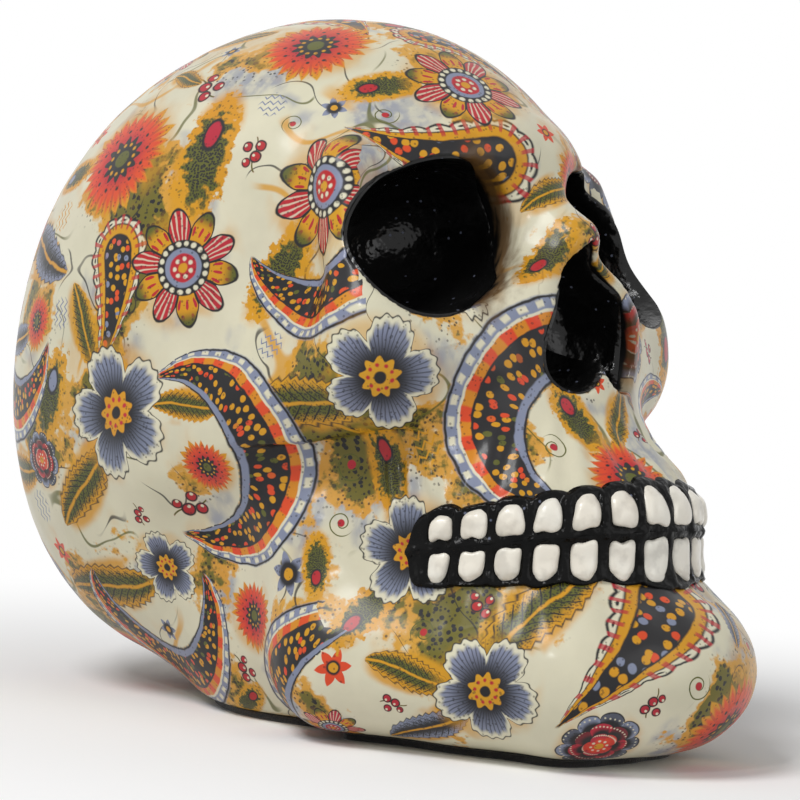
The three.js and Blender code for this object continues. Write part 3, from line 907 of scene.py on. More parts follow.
def cheek_ledge(points):
    """The undercut below the cheek arch, and the folds that run from it down to the corner of the mouth."""
    p = points.copy()
    p[:, 0] = np.abs(p[:, 0])
    gap, drop, along = (np.full(len(p), FAR) for _ in range(3))
    for k in range(LEDGE_STRETCHES):
        a, way = CHEEK_LEDGE[k], CHEEK_LEDGE[k + 1] - CHEEK_LEDGE[k]
        t = np.clip((p - a) @ way / (way @ way), 0, 1)
        q = p - (a + t[:, None] * way)
        far = np.linalg.norm(q, axis=1)
        closer = far < gap
        gap = np.where(closer, far, gap)
        drop = np.where(closer, -q[:, 2], drop)
        along = np.where(closer, k + t, along)
    ends = between(LEDGE_START, LEDGE_STOP, along)
    lip = LIP_HEIGHT * bell(drop + LIP_RISE, LIP_WIDTH)
    away = 1 - soft_step(*LEDGE_AWAY, gap)
    ledge = LEDGE_DEPTH * (lip - between(LEDGE_EDGE, LEDGE_FOOT, drop)) * ends * away
    lean = p[:, 1] + FOLD_LEAN * (FOLD_TOP - p[:, 2])
    folds = sum(bell(lean - middle, FOLD_WIDTH) for middle in CHEEK_FOLDS) - FOLD_SUNK
    area = between(FOLDS_LOW, FOLDS_HIGH, p[:, 2]) * soft_step(*FOLDS_OUT, p[:, 0])
    area = area * between(FOLDS_FRONT, FOLDS_BACK, lean)
    way, above = mouth_places(points)
    off_gum = np.maximum(soft_step(*GUM_PAST, np.abs(way)), soft_step(*GUM_OVER, np.abs(above)))
    return ledge + FOLD_HEIGHT * folds * area * off_gum


def set_attribute(piece, name, kind, domain, values):
    layer = piece.data.attributes.new(name, kind, domain)
    layer.data.foreach_set("vector" if values.ndim == 2 else "value", values.astype(np.float32).ravel())


def soften(piece, name, chosen, rounds):
    """Smooths the chosen vertices."""
    group = piece.vertex_groups.new(name=name)
    group.add(np.flatnonzero(chosen).tolist(), 1.0, "REPLACE")
    apply_modifier(piece, "SMOOTH", factor=0.5, iterations=rounds, vertex_group=name)


class SKULL_OT_casting(bpy.types.Operator):
    """Models the hollow-eyed casting and scatters the print over it"""

    bl_idname = "skull.casting"
    bl_label = "Casting"

    def execute(self, context):
        deselect()
        bpy.ops.mesh.primitive_cube_add(size=2)
        piece = named("printed_casting")
        edit_all(lambda: bpy.ops.mesh.subdivide(number_cuts=CASTING_CUTS))
        along = np.tan(points_of(piece) * math.pi / 4)
        along /= np.linalg.norm(along, axis=1, keepdims=True)
        start = np.tile(FACE_CENTRE, (len(along), 1))
        set_points(piece, start + along * skin_reach(start, along, casting_distance)[:, None])
        for name in HOLES:
            cut(piece, hole_cutter(name, FIT))
        cut(piece, plate_recess())
        self.settle_skin(piece)
        smooth_faces(piece, CREASES["casting"])
        scatter_print(piece)
        dress(piece, print_material(), "printed_casting", "skull_shell")
        return {"FINISHED"}

    def settle_skin(self, piece):
        """Evens out the mesh, rounds the rims, and lays the skin back on its true shape with its relief."""
        only(piece)
        piece.data.remesh_voxel_size = size("grain") * MM
        bpy.ops.object.voxel_remesh()
        rim, fade = rim_places(points_of(piece) / MM)
        soften(piece, "rims", np.abs(rim) < RIM_SMOOTH, RIM_ROUNDS)
        soften(piece, "inner_rims", (np.abs(rim) < INNER_RIM) & (fade > 0.5), INNER_ROUNDS)
        points = points_of(piece) / MM
        rim, fade = rim_places(points)
        off = casting_distance(points)
        out = skin_slope(casting_distance, points)
        clear = RIM_CLEAR + INNER_CLEAR * soft_step(*FADED, fade)
        skin = soft_step(clear, clear + SKIN_EASE, rim) * (np.abs(off) < SKIN_SNAP)
        relief = root_ridges(points) + cheek_ledge(points)
        relief += sum(height * waves(points, length, seed) for height, length, seed in CAST_WAVES)
        relief *= skin * soft_step(*FOOT_PLAIN, points[:, 2])
        points = points + out * (relief - off * skin)[:, None]
        low, high = np.array(CAD_BOX) / MM
        set_points(piece, np.clip(points, low + BOX_MARGIN, high - BOX_MARGIN))
        set_attribute(piece, "rim", "FLOAT", "POINT", rim)
        set_attribute(piece, "fade", "FLOAT", "POINT", fade)


# Linings of the sockets and the nose
RIM_SUNK, FADE_SUNK = 0.05, 10.0
FLARE = 2.2
AROUND, INWARD = 128, 36
LINING_LUMPS = (0.2, 9, 21)
SOCKET_GLOSS, SOCKET_STROKES = 0.3, 1.3


class SKULL_OT_linings(bpy.types.Operator):
    """Models the gloss black cups that line the eye sockets and the nose"""

    bl_idname = "skull.linings"
    bl_label = "Linings"

    def execute(self, context):
        black = lacquer_material("socket lacquer", SOCKET_GLOSS, SOCKET_STROKES)
        for name in HOLES:
            piece = self.cup(name)
            smooth_faces(piece, CREASES["lining"])
            dress(piece, black, "black_lacquer", name)
        return {"FINISHED"}

    def cup(self, name):
        outline, taper, depth, turn, place = HOLES[name]
        piece, share = grid_piece(name + "_lining", AROUND, INWARD)
        angle = share[:, 0] * 2 * math.pi
        across, up = outline(angle, 0)
        rim = rim_depth(name, angle) + RIM_SUNK + FADE_SUNK * paint_fade(name, angle)
        end = depth - size("lining_wall")
        into = rim + (end - rim) * np.sin(share[:, 1] * math.pi / 2)
        flared = np.clip((into - rim) / FLARE, 0, 1)
        wall = size("lining_wall") * np.sqrt(1 - (1 - flared) ** 2)
        closing = np.where(share[:, 1] > POLE, 0, taper(np.clip(into / end, 0, 1)))
        narrow = closing * (1 - wall / np.hypot(across, up))
        height, length, seed = LINING_LUMPS
        local = side_by_side(across * narrow, into, up * narrow)
        local[:, 1] += height * waves(local, length, seed) * share[:, 1]
        set_points(piece, local @ turn.T + place)
        weld(piece)
        face_sheet(piece, place + turn @ np.array([0, depth / 3, 0]), True)
        apply_modifier(piece, "SOLIDIFY", thickness=size("lining_wall") * MM, offset=-1)
        return piece


# Gums: how a band is cut, how its edge is notched between the teeth, and how it closes at its ends
GUM_ALONG, GUM_ACROSS = 420, 30
GUM_TAIL = 2.4
GUM_TAIL_SUNK = 0.3
GUM_SHARE = {"upper": 0.96, "lower": 0.9}
GUM_LEAST = 0.5
NOTCHES = {"upper": 1.0, "lower": 0.45}
NOTCH_POWER, END_POWER = 0.8, 2.4
GUM_GLOSS, GUM_STROKES = 0.1, 1.8

# The face of a gum: a bead along the bite, ribs between teeth, hollows under them and a rounded edge
BEAD_HEIGHT, BEAD_WIDTH = 0.5, 1.2
RIB_HEIGHT, RIB_WIDTH = 0.25, 1 / 6
HOLLOW_DEPTH, HOLLOW_SPREAD, HOLLOW_SIDE, HOLLOW_END = 0.5, 2.3, (0.7, 1.0), (0.75, 1.0)
FACE_SHARE, FACE_MOST = 0.85, GUM_PROUD + 0.8
SHOULDER = 0.7
TUCK, TUCK_DEPTH = (0.93, 1), 0.5

# Unevenness of the gums: how high the lumps are, how far apart, and their seed
GUM_LUMPS = {"bead": (0.4, 4.5, 31), "rib": (0.15, 6, 36), "face": (0.1, 3.2, 41), "edge": (0.04, 11, 51)}


def gum_lumps(kind, row, way, above):
    height, length, seed = GUM_LUMPS[kind]
    return height * waves(side_by_side(way, above, np.zeros_like(way)), length, seed + row)


def gum_reach(name, way):
    """How far a gum reaches from the bite: arched over each tooth, and closing to a tail at its two ends."""
    _, share = tooth_phase(way)
    arch = np.abs(np.sin(np.pi * np.clip(share, 0, 1))) ** NOTCH_POWER
    full = TOOTH_OFF_BITE + tooth_height(name, way) + GUM_RIM - GUM_SCALLOP * NOTCHES[name] * (1 - arch)
    past = np.clip((np.abs(way) - MOUTH_HALF) / GUM_END, 0, 1)
    return full * np.sqrt(1 - past**END_POWER) * GUM_SHARE[name] + GUM_LEAST


def gum_face(name, way, above, reach):
    """How far out a gum's face stands: ribs between teeth, hollows under them and a bead along the bite."""
    row = ROWS[name]
    _, share = tooth_phase(way)
    tooth = tooth_height(name, way)
    up = (above - TOOTH_OFF_BITE - tooth / 2) / (tooth / 2)
    aside = np.abs(share - 0.5)
    hollow = (1 - soft_step(*HOLLOW_SIDE, aside * HOLLOW_SPREAD)) * (1 - soft_step(*HOLLOW_END, np.abs(up)))
    bead = bell(above, BEAD_WIDTH) * (BEAD_HEIGHT + gum_lumps("bead", row, way, above * row))
    rib = bell(aside - 0.5, RIB_WIDTH) * (RIB_HEIGHT + gum_lumps("rib", row, way, above * row))
    edge = np.clip(above / reach, 0, 1)
    shoulder = np.sqrt(np.maximum(0, 1 - np.maximum(0, (edge - SHOULDER) / (1 - SHOULDER)) ** 2))
    face = (GUM_PROUD * FACE_SHARE + bead + rib + gum_lumps("face", row, way, above * row)) * shoulder
    return np.minimum(face - HOLLOW_DEPTH * hollow, FACE_MOST) - TUCK_DEPTH * soft_step(*TUCK, edge)


class SKULL_OT_gums(bpy.types.Operator):
    """Models the two raised black gum bands"""

    bl_idname = "skull.gums"
    bl_label = "Gums"

    def execute(self, context):
        black = lacquer_material("gum lacquer", GUM_GLOSS, GUM_STROKES)
        for name, row in ROWS.items():
            piece = self.band(name, row)
            smooth_faces(piece, CREASES["gum"])
            dress(piece, black, "black_lacquer", name + "_gum")
        return {"FINISHED"}

    def band(self, name, row):
        piece, share = grid_piece(name + "_gum_band", GUM_ALONG, GUM_ACROSS)
        half = MOUTH_HALF + GUM_END + GUM_TAIL
        way = (share[:, 0] * 2 - 1) * half
        reach = gum_reach(name, way) * (1 + gum_lumps("edge", row, way, np.zeros_like(way)))
        above = share[:, 1] * reach
        out = gum_face(name, way, above, reach)
        closing = soft_step(0, GUM_TAIL, half - np.abs(way))
        set_points(piece, mouth_points(way, row * above, out * closing - (1 - closing) * GUM_TAIL_SUNK))
        face_sheet(piece, np.array([0, -MOUTH_BACK, BITE_RISE]), False)
        apply_modifier(piece, "SOLIDIFY", thickness=size("gum_wall") * MM, offset=-1)
        return piece


# Teeth: how far they are set towards the bite, how deep they go, and how square they are at the gum
TOOTH_DROP = {"upper": 0.4, "lower": 0.5}
TOOTH_BACK, TOOTH_FRONT = -2.6, GUM_PROUD + TOOTH_PROUD * 0.75
TOOTH_SQUARE, TOOTH_SQUARING = 3.1, 0.9

# How much teeth differ from each other: ranges of size, taper, lean, notch, slant and dent, and uneven swells
CROWN_WIDE, CROWN_TALL, CROWN_TAPER = (1.03, 1.17), (0.93, 1.03), (0.03, 0.18)
CROWN_LEAN = (-4, 4)
NOTCH_DEEP, NOTCH_AT, NOTCH_WIDTH = (0, 1.1), (-0.3, 0.3), 0.4
CROWN_SLANT = (-0.5, 0.5)
DENT_AT, DENT_SPREAD, DENT_DEPTH = (-0.45, 0.45), 0.12, 0.3
SWELL_COUNTS, SWELL_HEIGHTS = (2, 3, 5), (0.05, 0.02, 0.02)
CROWN_LUMPS = (0.1, 1.1, 60)


class SKULL_OT_teeth(bpy.types.Operator):
    """Models the two rows of teeth, each one a little different"""

    bl_idname = "skull.teeth"
    bl_label = "Teeth"

    def execute(self, context):
        enamel = enamel_material()
        for row_name, row in ROWS.items():
            for side_name, side in SIDES.items():
                for k in range(TEETH_A_SIDE):
                    node = f"{row_name}_{side_name}_tooth_{k + 1}"
                    piece = self.tooth(node, row_name, row, side, k)
                    smooth_faces(piece, CREASES["tooth"])
                    dress(piece, enamel, "tooth_enamel", node)
        return {"FINISHED"}

    def tooth(self, node, row_name, row, side, k):
        own_seed = 100 * (row + 2) + 10 * (side + 2) + k
        chance = np.random.default_rng(own_seed)
        deselect()
        bpy.ops.mesh.primitive_cube_add(size=2)
        piece = named(node + "_crown")
        cuts = bpy.context.scene.skull_sizes.tooth_cuts
        edit_all(lambda: bpy.ops.mesh.subdivide(number_cuts=cuts))
        c = points_of(piece)
        square = (TOOTH_SQUARE - TOOTH_SQUARING * c[:, 1])[:, None]
        p = c / (np.abs(c) ** square).sum(axis=1, keepdims=True) ** (1 / square)
        middle_way = side * (STARTS[k] + PITCHES[k] / 2)
        height = tooth_height(row_name, np.array([middle_way]))[0]
        wide = (PITCHES[k] - TOOTH_GAP) / 2 * chance.uniform(*CROWN_WIDE)
        tall = height / 2 * chance.uniform(*CROWN_TALL)
        taper = 1 - chance.uniform(*CROWN_TAPER) * (p[:, 1] * 0.5 + 0.5)
        lean = math.radians(chance.uniform(*CROWN_LEAN))
        turn = np.arctan2(p[:, 1], p[:, 0])
        swells = zip(SWELL_COUNTS, SWELL_HEIGHTS, chance.uniform(0, 2 * math.pi, len(SWELL_COUNTS)))
        uneven = 1 + sum(much * np.cos(count * turn + phase) for count, much, phase in swells)
        across, rise = p[:, 0] * wide * taper * uneven, p[:, 1] * tall * uneven
        toward_bite = np.clip(-p[:, 1], 0, 1)
        notch = chance.uniform(*NOTCH_DEEP) * bell(p[:, 0] - chance.uniform(*NOTCH_AT), NOTCH_WIDTH)
        rise = rise + notch * toward_bite**3
        slant = chance.uniform(*CROWN_SLANT) * p[:, 0] * toward_bite
        dent_at = chance.uniform(*DENT_AT, 2)
        dent = np.exp(-((p[:, :2] - dent_at) ** 2).sum(axis=1) / DENT_SPREAD)
        lump, length, seed = CROWN_LUMPS
        lumps = lump * waves(c, length, seed + k)
        reach = (TOOTH_BACK + TOOTH_FRONT + (TOOTH_FRONT - TOOTH_BACK) * p[:, 2]) / 2
        out = reach - np.clip(p[:, 2], 0, 1) * (DENT_DEPTH * dent - lumps)
        way = middle_way + across * math.cos(lean) - rise * math.sin(lean)
        middle = TOOTH_OFF_BITE + height / 2 - TOOTH_DROP[row_name]
        above = middle + rise * math.cos(lean) + across * math.sin(lean) + slant
        set_points(piece, mouth_points(way, row * above, np.minimum(out, TOOTH_FRONT)))
        only(piece)
        edit_all(outside_out)
        return piece


# Base: how finely the pad's outline is followed, and the rounding of its edge
PAD_AROUND = 160
PAD_ROUND, PAD_ROUND_STEPS = 0.35, 3


class SKULL_OT_base(bpy.types.Operator):
    """Models the felt pad under the base and finishes the base plate"""

    bl_idname = "skull.base"
    bl_label = "Base"

    def execute(self, context):
        deselect()
        bpy.ops.mesh.primitive_circle_add(vertices=PAD_AROUND, radius=1, fill_type="NGON")
        piece = named("felt_pad")
        along = points_of(piece)
        start = np.tile(PAD_CENTRE, (len(along), 1))
        outline = start + along * (skin_reach(start, along) - PAD_INSET)[:, None]
        outline[:, 2] = 0.0
        set_points(piece, outline)
        rise = {"value": (0, 0, PAD_THICK * MM)}
        edit_all(lambda: bpy.ops.mesh.extrude_region_move(TRANSFORM_OT_translate=rise))
        weld(piece, 0.001)
        apply_modifier(piece, "BEVEL", width=PAD_ROUND * MM, segments=PAD_ROUND_STEPS, limit_method="ANGLE")
        smooth_faces(piece, CREASES["pad"])
        dress(piece, felt_material(), "felt", "base_pad")
        x, y = outline[:, 0] * MM, outline[:, 1] * MM
        area = 0.5 * abs(np.sum(x * np.roll(y, 1) - y * np.roll(x, 1)))
        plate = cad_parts["base_plate"]
        plate.data.materials.clear()
        plate.data.materials.append(resin_material())
        return {"FINISHED"}


# The print: each motif is drawn in its own round place, so that its sizes are shares of its radius
SHARP = 0.014
CLOSED = 1.0001
PAISLEY_LOW, PAISLEY_WIDE, PAISLEY_TIP, PAISLEY_THIN = 0.38, 0.46, 1.25, 1.5
PAISLEY_BEND, PAISLEY_ASIDE = 0.62, 0.12
RIBBON_DROP, RIBBON_MIDDLE, RIBBON_HALF, RIBBON_TURN = 0.3, 0.68, 0.3, 2.1
PEONY_RINGS = (
    (9, 0.9, "lilac", "charcoal"),
    (7, 0.66, "crimson", "charcoal"),
    (5, 0.4, "crimson", "vermilion"),
)
BERRIES = ((0.3, 0.35, 0.27), (-0.32, 0.42, 0.25), (0.02, -0.1, 0.29), (-0.42, -0.3, 0.22))


def hypot(a, b):
    return (a * a + b * b) ** 0.5


def polar(board, u, v):
    return hypot(u, v), board.math("ARCTAN2", v, u)


def petals(angle, count):
    """Where a point is in its petal, from 0 in the middle to 1 between two, and whether the petal is odd."""
    turns = angle * (count / (2 * math.pi)) + 0.5
    return abs(turns.fraction() - 0.5) * 2, (turns.floor() * 0.5).fraction() * 2


def bead_ring(reach, angle, count, radius, bead):
    """A ring of dots."""
    along = ((angle * (count / (2 * math.pi))).fraction() - 0.5) * (2 * math.pi * radius / count)
    return hypot(along, reach - radius).under(bead, SHARP)


def rosette(board, u, v, seed):
    """Ten pointed petals, striped and dotted by turns, round a beaded middle."""
    reach, angle = polar(board, u, v)
    side, odd = petals(angle, 10)
    edge = 0.9 - 0.3 * side**1.8
    stripes = (side * 2.6).fraction().near(0.5, 0.16, 0.1)
    speck = ((reach * 14).sine() * (side * 9).cosine()).over(0.45, 0.15)
    dotted = Picture(board, "mustard").coat(speck, "crimson").coat(reach.over(0.72, 0.1), "olive")
    art = Picture(board, "crimson").coat(stripes * 0.75, "ivory").coat(odd, dotted.colour)
    art.coat(side.over(0.88, 0.05), "charcoal")
    art.coat((reach - edge).over(-0.045, SHARP), "charcoal")
    art.disc(reach, 0.42, "charcoal")
    art.coat(bead_ring(reach, angle, 18, 0.36, 0.04), "ivory")
    art.disc(reach, 0.29, "lilac")
    art.disc(reach, 0.21, "crimson")
    art.coat(bead_ring(reach, angle, 7, 0.13, 0.032), "ivory")
    art.disc(reach, 0.07, "mustard")
    return art.colour, (reach - edge).under(0, SHARP)


def sun(board, u, v, seed):
    """A burst of rays from crimson to mustard round a dark seeded eye."""
    reach, angle = polar(board, u, v)
    side, odd = petals(angle, 24)
    edge = 0.88 - 0.17 * side - 0.06 * odd + 0.06 * (angle * 3 + seed * 40).sine()
    art = Picture(board, "crimson").coat(reach.over(0.42, 0.16), "vermilion")
    art.coat((reach + side * 0.2).over(0.78, 0.12), "mustard")
    art.coat(side.over(0.72, 0.12) * reach.over(0.5, 0.1) * 0.7, "crimson")
    art.coat(bead_ring(reach, angle, 12, 0.47, 0.03), "charcoal")
    art.disc(reach - 0.05 * (angle * 12).sine(), 0.32, "charcoal")
    art.coat(bead_ring(reach, angle, 11, 0.23, 0.03), "mustard")
    art.disc(reach, 0.13, "olive")
    return art.colour, (reach - edge).under(0, SHARP * 2)


def peony(board, u, v, seed):
    """Three frilled rings of petals, dark outside and crimson inside, edged with pale dots."""
    reach, angle = polar(board, u, v)
    sway = 0.05 * (angle * 2 + seed * 30).sine()
    art = Picture(board, "charcoal")
    covers = []
    for count, wide, light, dark in PEONY_RINGS:
        side, odd = petals(angle + seed * 6 + count, count)
        inward = wide * (0.78 + 0.2 * (1.02 - side * side) ** 0.5) + sway - reach
        ring = Picture(board, dark).coat(inward.under(0.16, 0.07) * (0.35 + 0.65 * odd), light)
        ring.coat(bead_ring(reach, angle, 46, wide * 0.86, 0.018), "ivory")
        ring.coat(inward.under(0.03, SHARP), "charcoal")
        covers.append(inward.over(0, SHARP))
        art.coat(covers[-1], ring.colour)
    art.coat(bead_ring(reach, angle, 8, 0.17, 0.03), "ivory")
    art.disc(reach, 0.1, "mustard")
    return art.colour, covers[0]


def ruffle(board, u, v, seed):
    """Five broad veined petals with pale ruffled edges."""
    reach, angle = polar(board, u, v)
    side, _ = petals(angle + seed * 6, 5)
    edge = 0.9 - 0.34 * side**3 + 0.025 * (angle * 31).sine()
    veins = (angle * 60 + reach * 3).sine().over(0.55, 0.2)
    art = Picture(board, "charcoal").coat(reach.over(0.5, 0.25), "lilac")
    art.coat(veins * reach.over(0.3, 0.1) * 0.6, "charcoal")
    art.coat((edge - reach).under(0.13, 0.06), "ivory")
    art.coat((edge - reach).under(0.025, SHARP), "charcoal")
    art.disc(reach - 0.04 * (angle * 9).sine(), 0.27, "mustard")
    art.coat(bead_ring(reach, angle, 9, 0.18, 0.03), "crimson")
    art.disc(reach, 0.09, "charcoal")
    return art.colour, (reach - edge).under(0, SHARP)


def paisley(board, u, v, seed):
    """A curled drop with a scalloped pale border, a mustard band and a dark core with chips."""
    rise = v + PAISLEY_LOW
    up, below = rise.most(0) / PAISLEY_TIP, rise.least(0)
    across = u - PAISLEY_BEND * up * up + PAISLEY_ASIDE
    thin = PAISLEY_WIDE * (CLOSED - up.least(1) ** PAISLEY_THIN)
    measure = hypot(across / thin.most(0.02), below / PAISLEY_WIDE)
    along = (board.math("ARCTAN2", across, below * -1 + 0.001) * 3.2 + up * 11) * 1.6
    frill = 0.1 * abs(along.sine())
    art = Picture(board, "ivory")
    art.coat((measure - frill).over(0.83, SHARP * 2), "charcoal")
    dot = ((along / math.pi).fraction() - 0.5) * 0.22
    art.disc(hypot(dot, measure - 0.84), 0.03, "charcoal")
    art.coat(measure.under(0.76, SHARP * 2), "charcoal")
    art.coat(measure.under(0.72, SHARP * 2), "mustard")
    ticks = (along * 3.75).sine().over(0.5, 0.2) * measure.over(0.62, 0.04)
    art.coat(ticks * 0.8, "crimson")
    art.coat(measure.under(0.5, SHARP * 2), "charcoal")
    gap, pick = board.cells(board.vector(u + seed * 20, v), 9.0)
    kind = board.parts(pick)[0]
    chips = Picture(board, "mustard").coat(kind.over(0.5, 0.01), "vermilion")
    chips.coat(kind.over(0.78, 0.01), "lilac")
    art.coat(gap.under(0.32, 0.06) * measure.under(0.44, 0.03), chips.colour)
    return art.colour, (measure - frill).under(0.9, SHARP * 2) * up.under(0.99, 0.01)


def ribbon(board, u, v, seed):
    """A tapering crescent with dotted, barred and dark lanes."""
    drop = v + RIBBON_DROP
    reach, angle = polar(board, u, drop)
    turned = abs(board.math("ARCTAN2", u, drop)) / RIBBON_TURN
    half = RIBBON_HALF * (CLOSED - turned.least(1) ** 2)
    lane = (reach - RIBBON_MIDDLE) / half.most(0.01)
    gap, pick = board.cells(board.vector(angle * 3.0 + seed * 9, lane * 0.9), 3.2)
    kind = board.parts(pick)[1]
    chips = Picture(board, "mustard").coat(kind.over(0.55, 0.01), "vermilion")
    chips.coat(kind.over(0.8, 0.01), "olive")
    art = Picture(board, "charcoal").coat(gap.under(0.3, 0.05), chips.colour)
    bars = (angle * 26).sine().over(0.0, 0.3)
    barred = Picture(board, "vermilion").coat(bars * 0.75, "mustard")
    art.coat(lane.over(0.28, 0.03), barred.colour)
    art.coat(lane.over(0.62, 0.03), "lilac")
    dots = (angle * 44).sine().over(0.1, 0.3) * lane.near(0.8, 0.08, 0.04)
    art.coat(dots, "ivory")
    for at, name in ((0.28, "charcoal"), (0.62, "ivory"), (0.95, "charcoal"), (-0.95, "charcoal")):
        art.coat(lane.near(at, 0.035, 0.02), name)
    art.coat(lane.under(-0.72, 0.03) * lane.over(-0.92, 0.02), "lilac")
    return art.colour, abs(lane).under(1, SHARP * 3) * turned.under(0.97, 0.02)


def leaf(board, u, v, seed):
    """A toothed leaf, dark and stippled along its rib and pale along its edge."""
    along = v.most(-1).least(1)
    tooth = abs(((v + abs(u) * 0.8) * 6).fraction() - 0.5)
    wide = 0.36 * (CLOSED - along * along) ** 0.8 * (0.84 + 0.32 * tooth)
    rib = u - 0.08 * (v * 2.4).sine()
    edge = abs(rib) / wide.most(0.01)
    veins = ((v - abs(rib) * 1.1) * 7).fraction().near(0.5, 0.09, 0.05)
    grey = Picture(board, "charcoal").coat(edge.over(0.5, 0.3), "lilac")
    art = Picture(board, "olive").coat(edge.over(0.62, 0.25), "mustard")
    art.coat(seed.over(0.7, 0.01), grey.colour)
    speck, _ = board.cells(board.vector(u, v), 26.0)
    art.coat(speck.under(0.3, 0.08) * edge.under(0.75, 0.2) * 0.8, "charcoal")
    art.coat(veins * edge.under(0.8, 0.1), "charcoal")
    art.disc(abs(rib), 0.025, "mustard")
    art.coat(edge.over(0.93, 0.05) * seed.over(0.35, 0.01), "charcoal")
    return art.colour, edge.under(1, 0.06) * abs(v).under(0.97, 0.02)


def tuft(board, u, v, seed):
    """A feathery clump, dark and seeded in its middle and mustard at its edge, with a bright eye."""
    feather = board.noise(board.vector(u * 9, v * 9, seed * 40), 1, 3)
    reach = hypot(u / 0.42, v) + (feather - 0.5) * 0.9
    art = Picture(board, "olive").coat(reach.over(0.62, 0.07), "mustard")
    speck, _ = board.cells(board.vector(u, v), 30.0)
    art.coat(speck.under(0.4, 0.08) * reach.under(0.55, 0.15), "charcoal")
    eye = hypot(u / 0.12, (v - 0.3) / 0.2)
    bright = Picture(board, "crimson").coat(seed.over(0.5, 0.01), "lilac")
    art.coat(eye.under(1.2, 0.1), "charcoal").coat(eye.under(0.9, 0.1), bright.colour)
    return art.colour, reach.under(0.88, 0.05)


def berries(board, u, v, seed):
    """Four glossy berries on a twig."""
    cover = abs(u - 0.15 * (v * 3).sine()).under(0.035, SHARP) * abs(v).under(0.8, 0.05)
    art = Picture(board, "crimson").coat(cover, "olive")
    for at, up, big in BERRIES:
        gap = hypot(u - at, v - up)
        shine = hypot(u - at + 0.08, v - up - 0.08)
        berry = Picture(board, "crimson").coat(gap.over(big * 0.72, 0.03), "charcoal")
        berry.coat(shine.under(0.07, 0.02), "ivory")
        art.coat(gap.under(big, 0.02), berry.colour)
        cover = cover.most(gap.under(big, 0.03))
    return art.colour, cover


def star_flower(board, u, v, seed):
    """Six pointed petals, lilac or vermilion, round a mustard eye."""
    reach, angle = polar(board, u, v)
    side, _ = petals(angle + seed * 6, 6)
    art = Picture(board, "lilac").coat(reach.under(0.45, 0.12), "charcoal")
    art.coat(seed.over(0.6, 0.01) * reach.over(0.3, 0.05), "vermilion")
    art.coat(reach.under(0.2, 0.03), "mustard")
    return art.colour, (reach + 0.4 * side).under(0.8, 0.03)


def zigzag(board, u, v, seed):
    """A few short zigzag strokes."""
    fold = abs((u * 2.2 + seed * 3).fraction() - 0.5) * 0.5
    stroke = ((v - fold) * 2.4).fraction().near(0.5, 0.13, 0.05)
    art = Picture(board, "lilac").coat(seed.over(0.5, 0.01), "mustard")
    return art.colour, stroke * hypot(u, v).under(0.8, 0.1)


def tendril(board, u, v, seed):
    """A curl with a bud at its end."""
    reach, angle = polar(board, u, v)
    curl = (reach * 2.1 - angle / (2 * math.pi) + seed * 2).fraction()
    line = curl.near(0.5, 0.075, 0.03) * reach.under(0.8, 0.03)
    bud = reach.under(0.22, 0.03)
    return Picture(board, "olive").coat(bud, "crimson").colour, line.most(bud)


PRINT = {
    "sprigs": (berries, star_flower, zigzag, tendril),
    "leaves": (leaf, tuft),
    "scrolls": (paisley, ribbon),
    "blooms": (rosette, sun, peony, ruffle),
}

# How far each layer's drawing is shaken, and how strong and wide the mustard halos behind its motifs are
SHAKES = {"sprigs": 0.12, "leaves": 0.07, "scrolls": 0.035, "blooms": 0.05}
HALOS = {"sprigs": (0.0, 0.86), "leaves": (0.9, 0.42), "scrolls": (0.0, 0.86), "blooms": (0.55, 0.86)}
HALO_TALL, HALO_EDGE, HALO_SOFT = 0.95, 0.98, 0.17
EMPTY_PLACE = 9.0


def layer_group(layer):
    """A node group that draws one layer of the print from a point's place in its motif."""
    outputs = (("Color", "Color"), ("Cover", "Float"), ("Halo", "Float"))
    tree, board, given, result = new_group("print " + layer, (("Place", "Vector"),), outputs)
    u, v, tag = board.parts(given.outputs["Place"])
    kind, seed = tag.floor(), tag.fraction()
    art, cover = Picture(board, "ivory"), 0.0
    for number, motif in enumerate(PRINT[layer]):
        drawn, mask = motif(board, u, v, seed)
        chosen = kind.near(number, 0.5, 0.02)
        art.coat(chosen, drawn)
        cover = mask * chosen + cover
    reach = hypot(u / HALOS[layer][1], v / HALO_TALL)
    board.plug(result.inputs["Color"], art.colour)
    board.plug(result.inputs["Cover"], cover.least(1))
    board.plug(result.inputs["Halo"], reach.under(HALO_EDGE, HALO_SOFT))
    return tree


def shade_of(name, share):
    """A colour made darker or lighter."""
    return (*(share * v for v in tint(name)[:3]), 1.0)


def shared_group(name, inputs, draw):
    """A node group that more than one finish uses, built the first time it is asked for."""
    known = bpy.data.node_groups.get(name)
    if known:
        return known
    tree, board, given, result = new_group(name, inputs, (("Mask", "Float"),))
    board.plug(result.inputs["Mask"], draw(board, *given.outputs[: len(inputs)]))
    return tree


def mottle():
    """Soft patches, where noise is over an edge."""
    def draw(board, place, scale, edge, soft):
        return board.noise(place, scale, 3).over(Ink(board, edge), Ink(board, soft))

    inputs = (("Place", "Vector"), ("Scale", "Float"), ("Edge", "Float"), ("Soft", "Float"))
    return shared_group("mottle", inputs, draw)


def specks():
    """Scattered round specks, of which only a share shows."""
    def draw(board, place, scale, radius, share):
        gap, pick = board.cells(place, scale, flat=False)
        return gap.under(Ink(board, radius), 0.05) * board.parts(pick)[0].under(Ink(board, share), 0.01)

    inputs = (("Place", "Vector"), ("Scale", "Float"), ("Radius", "Float"), ("Share", "Float"))
    return shared_group("specks", inputs, draw)


def plug_finish(board, shader, art, roughness, normal):
    """Plugs a finish's colour, roughness and relief into its shader."""
    board.plug(shader.inputs["Base Color"], art.colour)
    board.plug(shader.inputs["Roughness"], roughness)
    board.plug(shader.inputs["Normal"], normal)


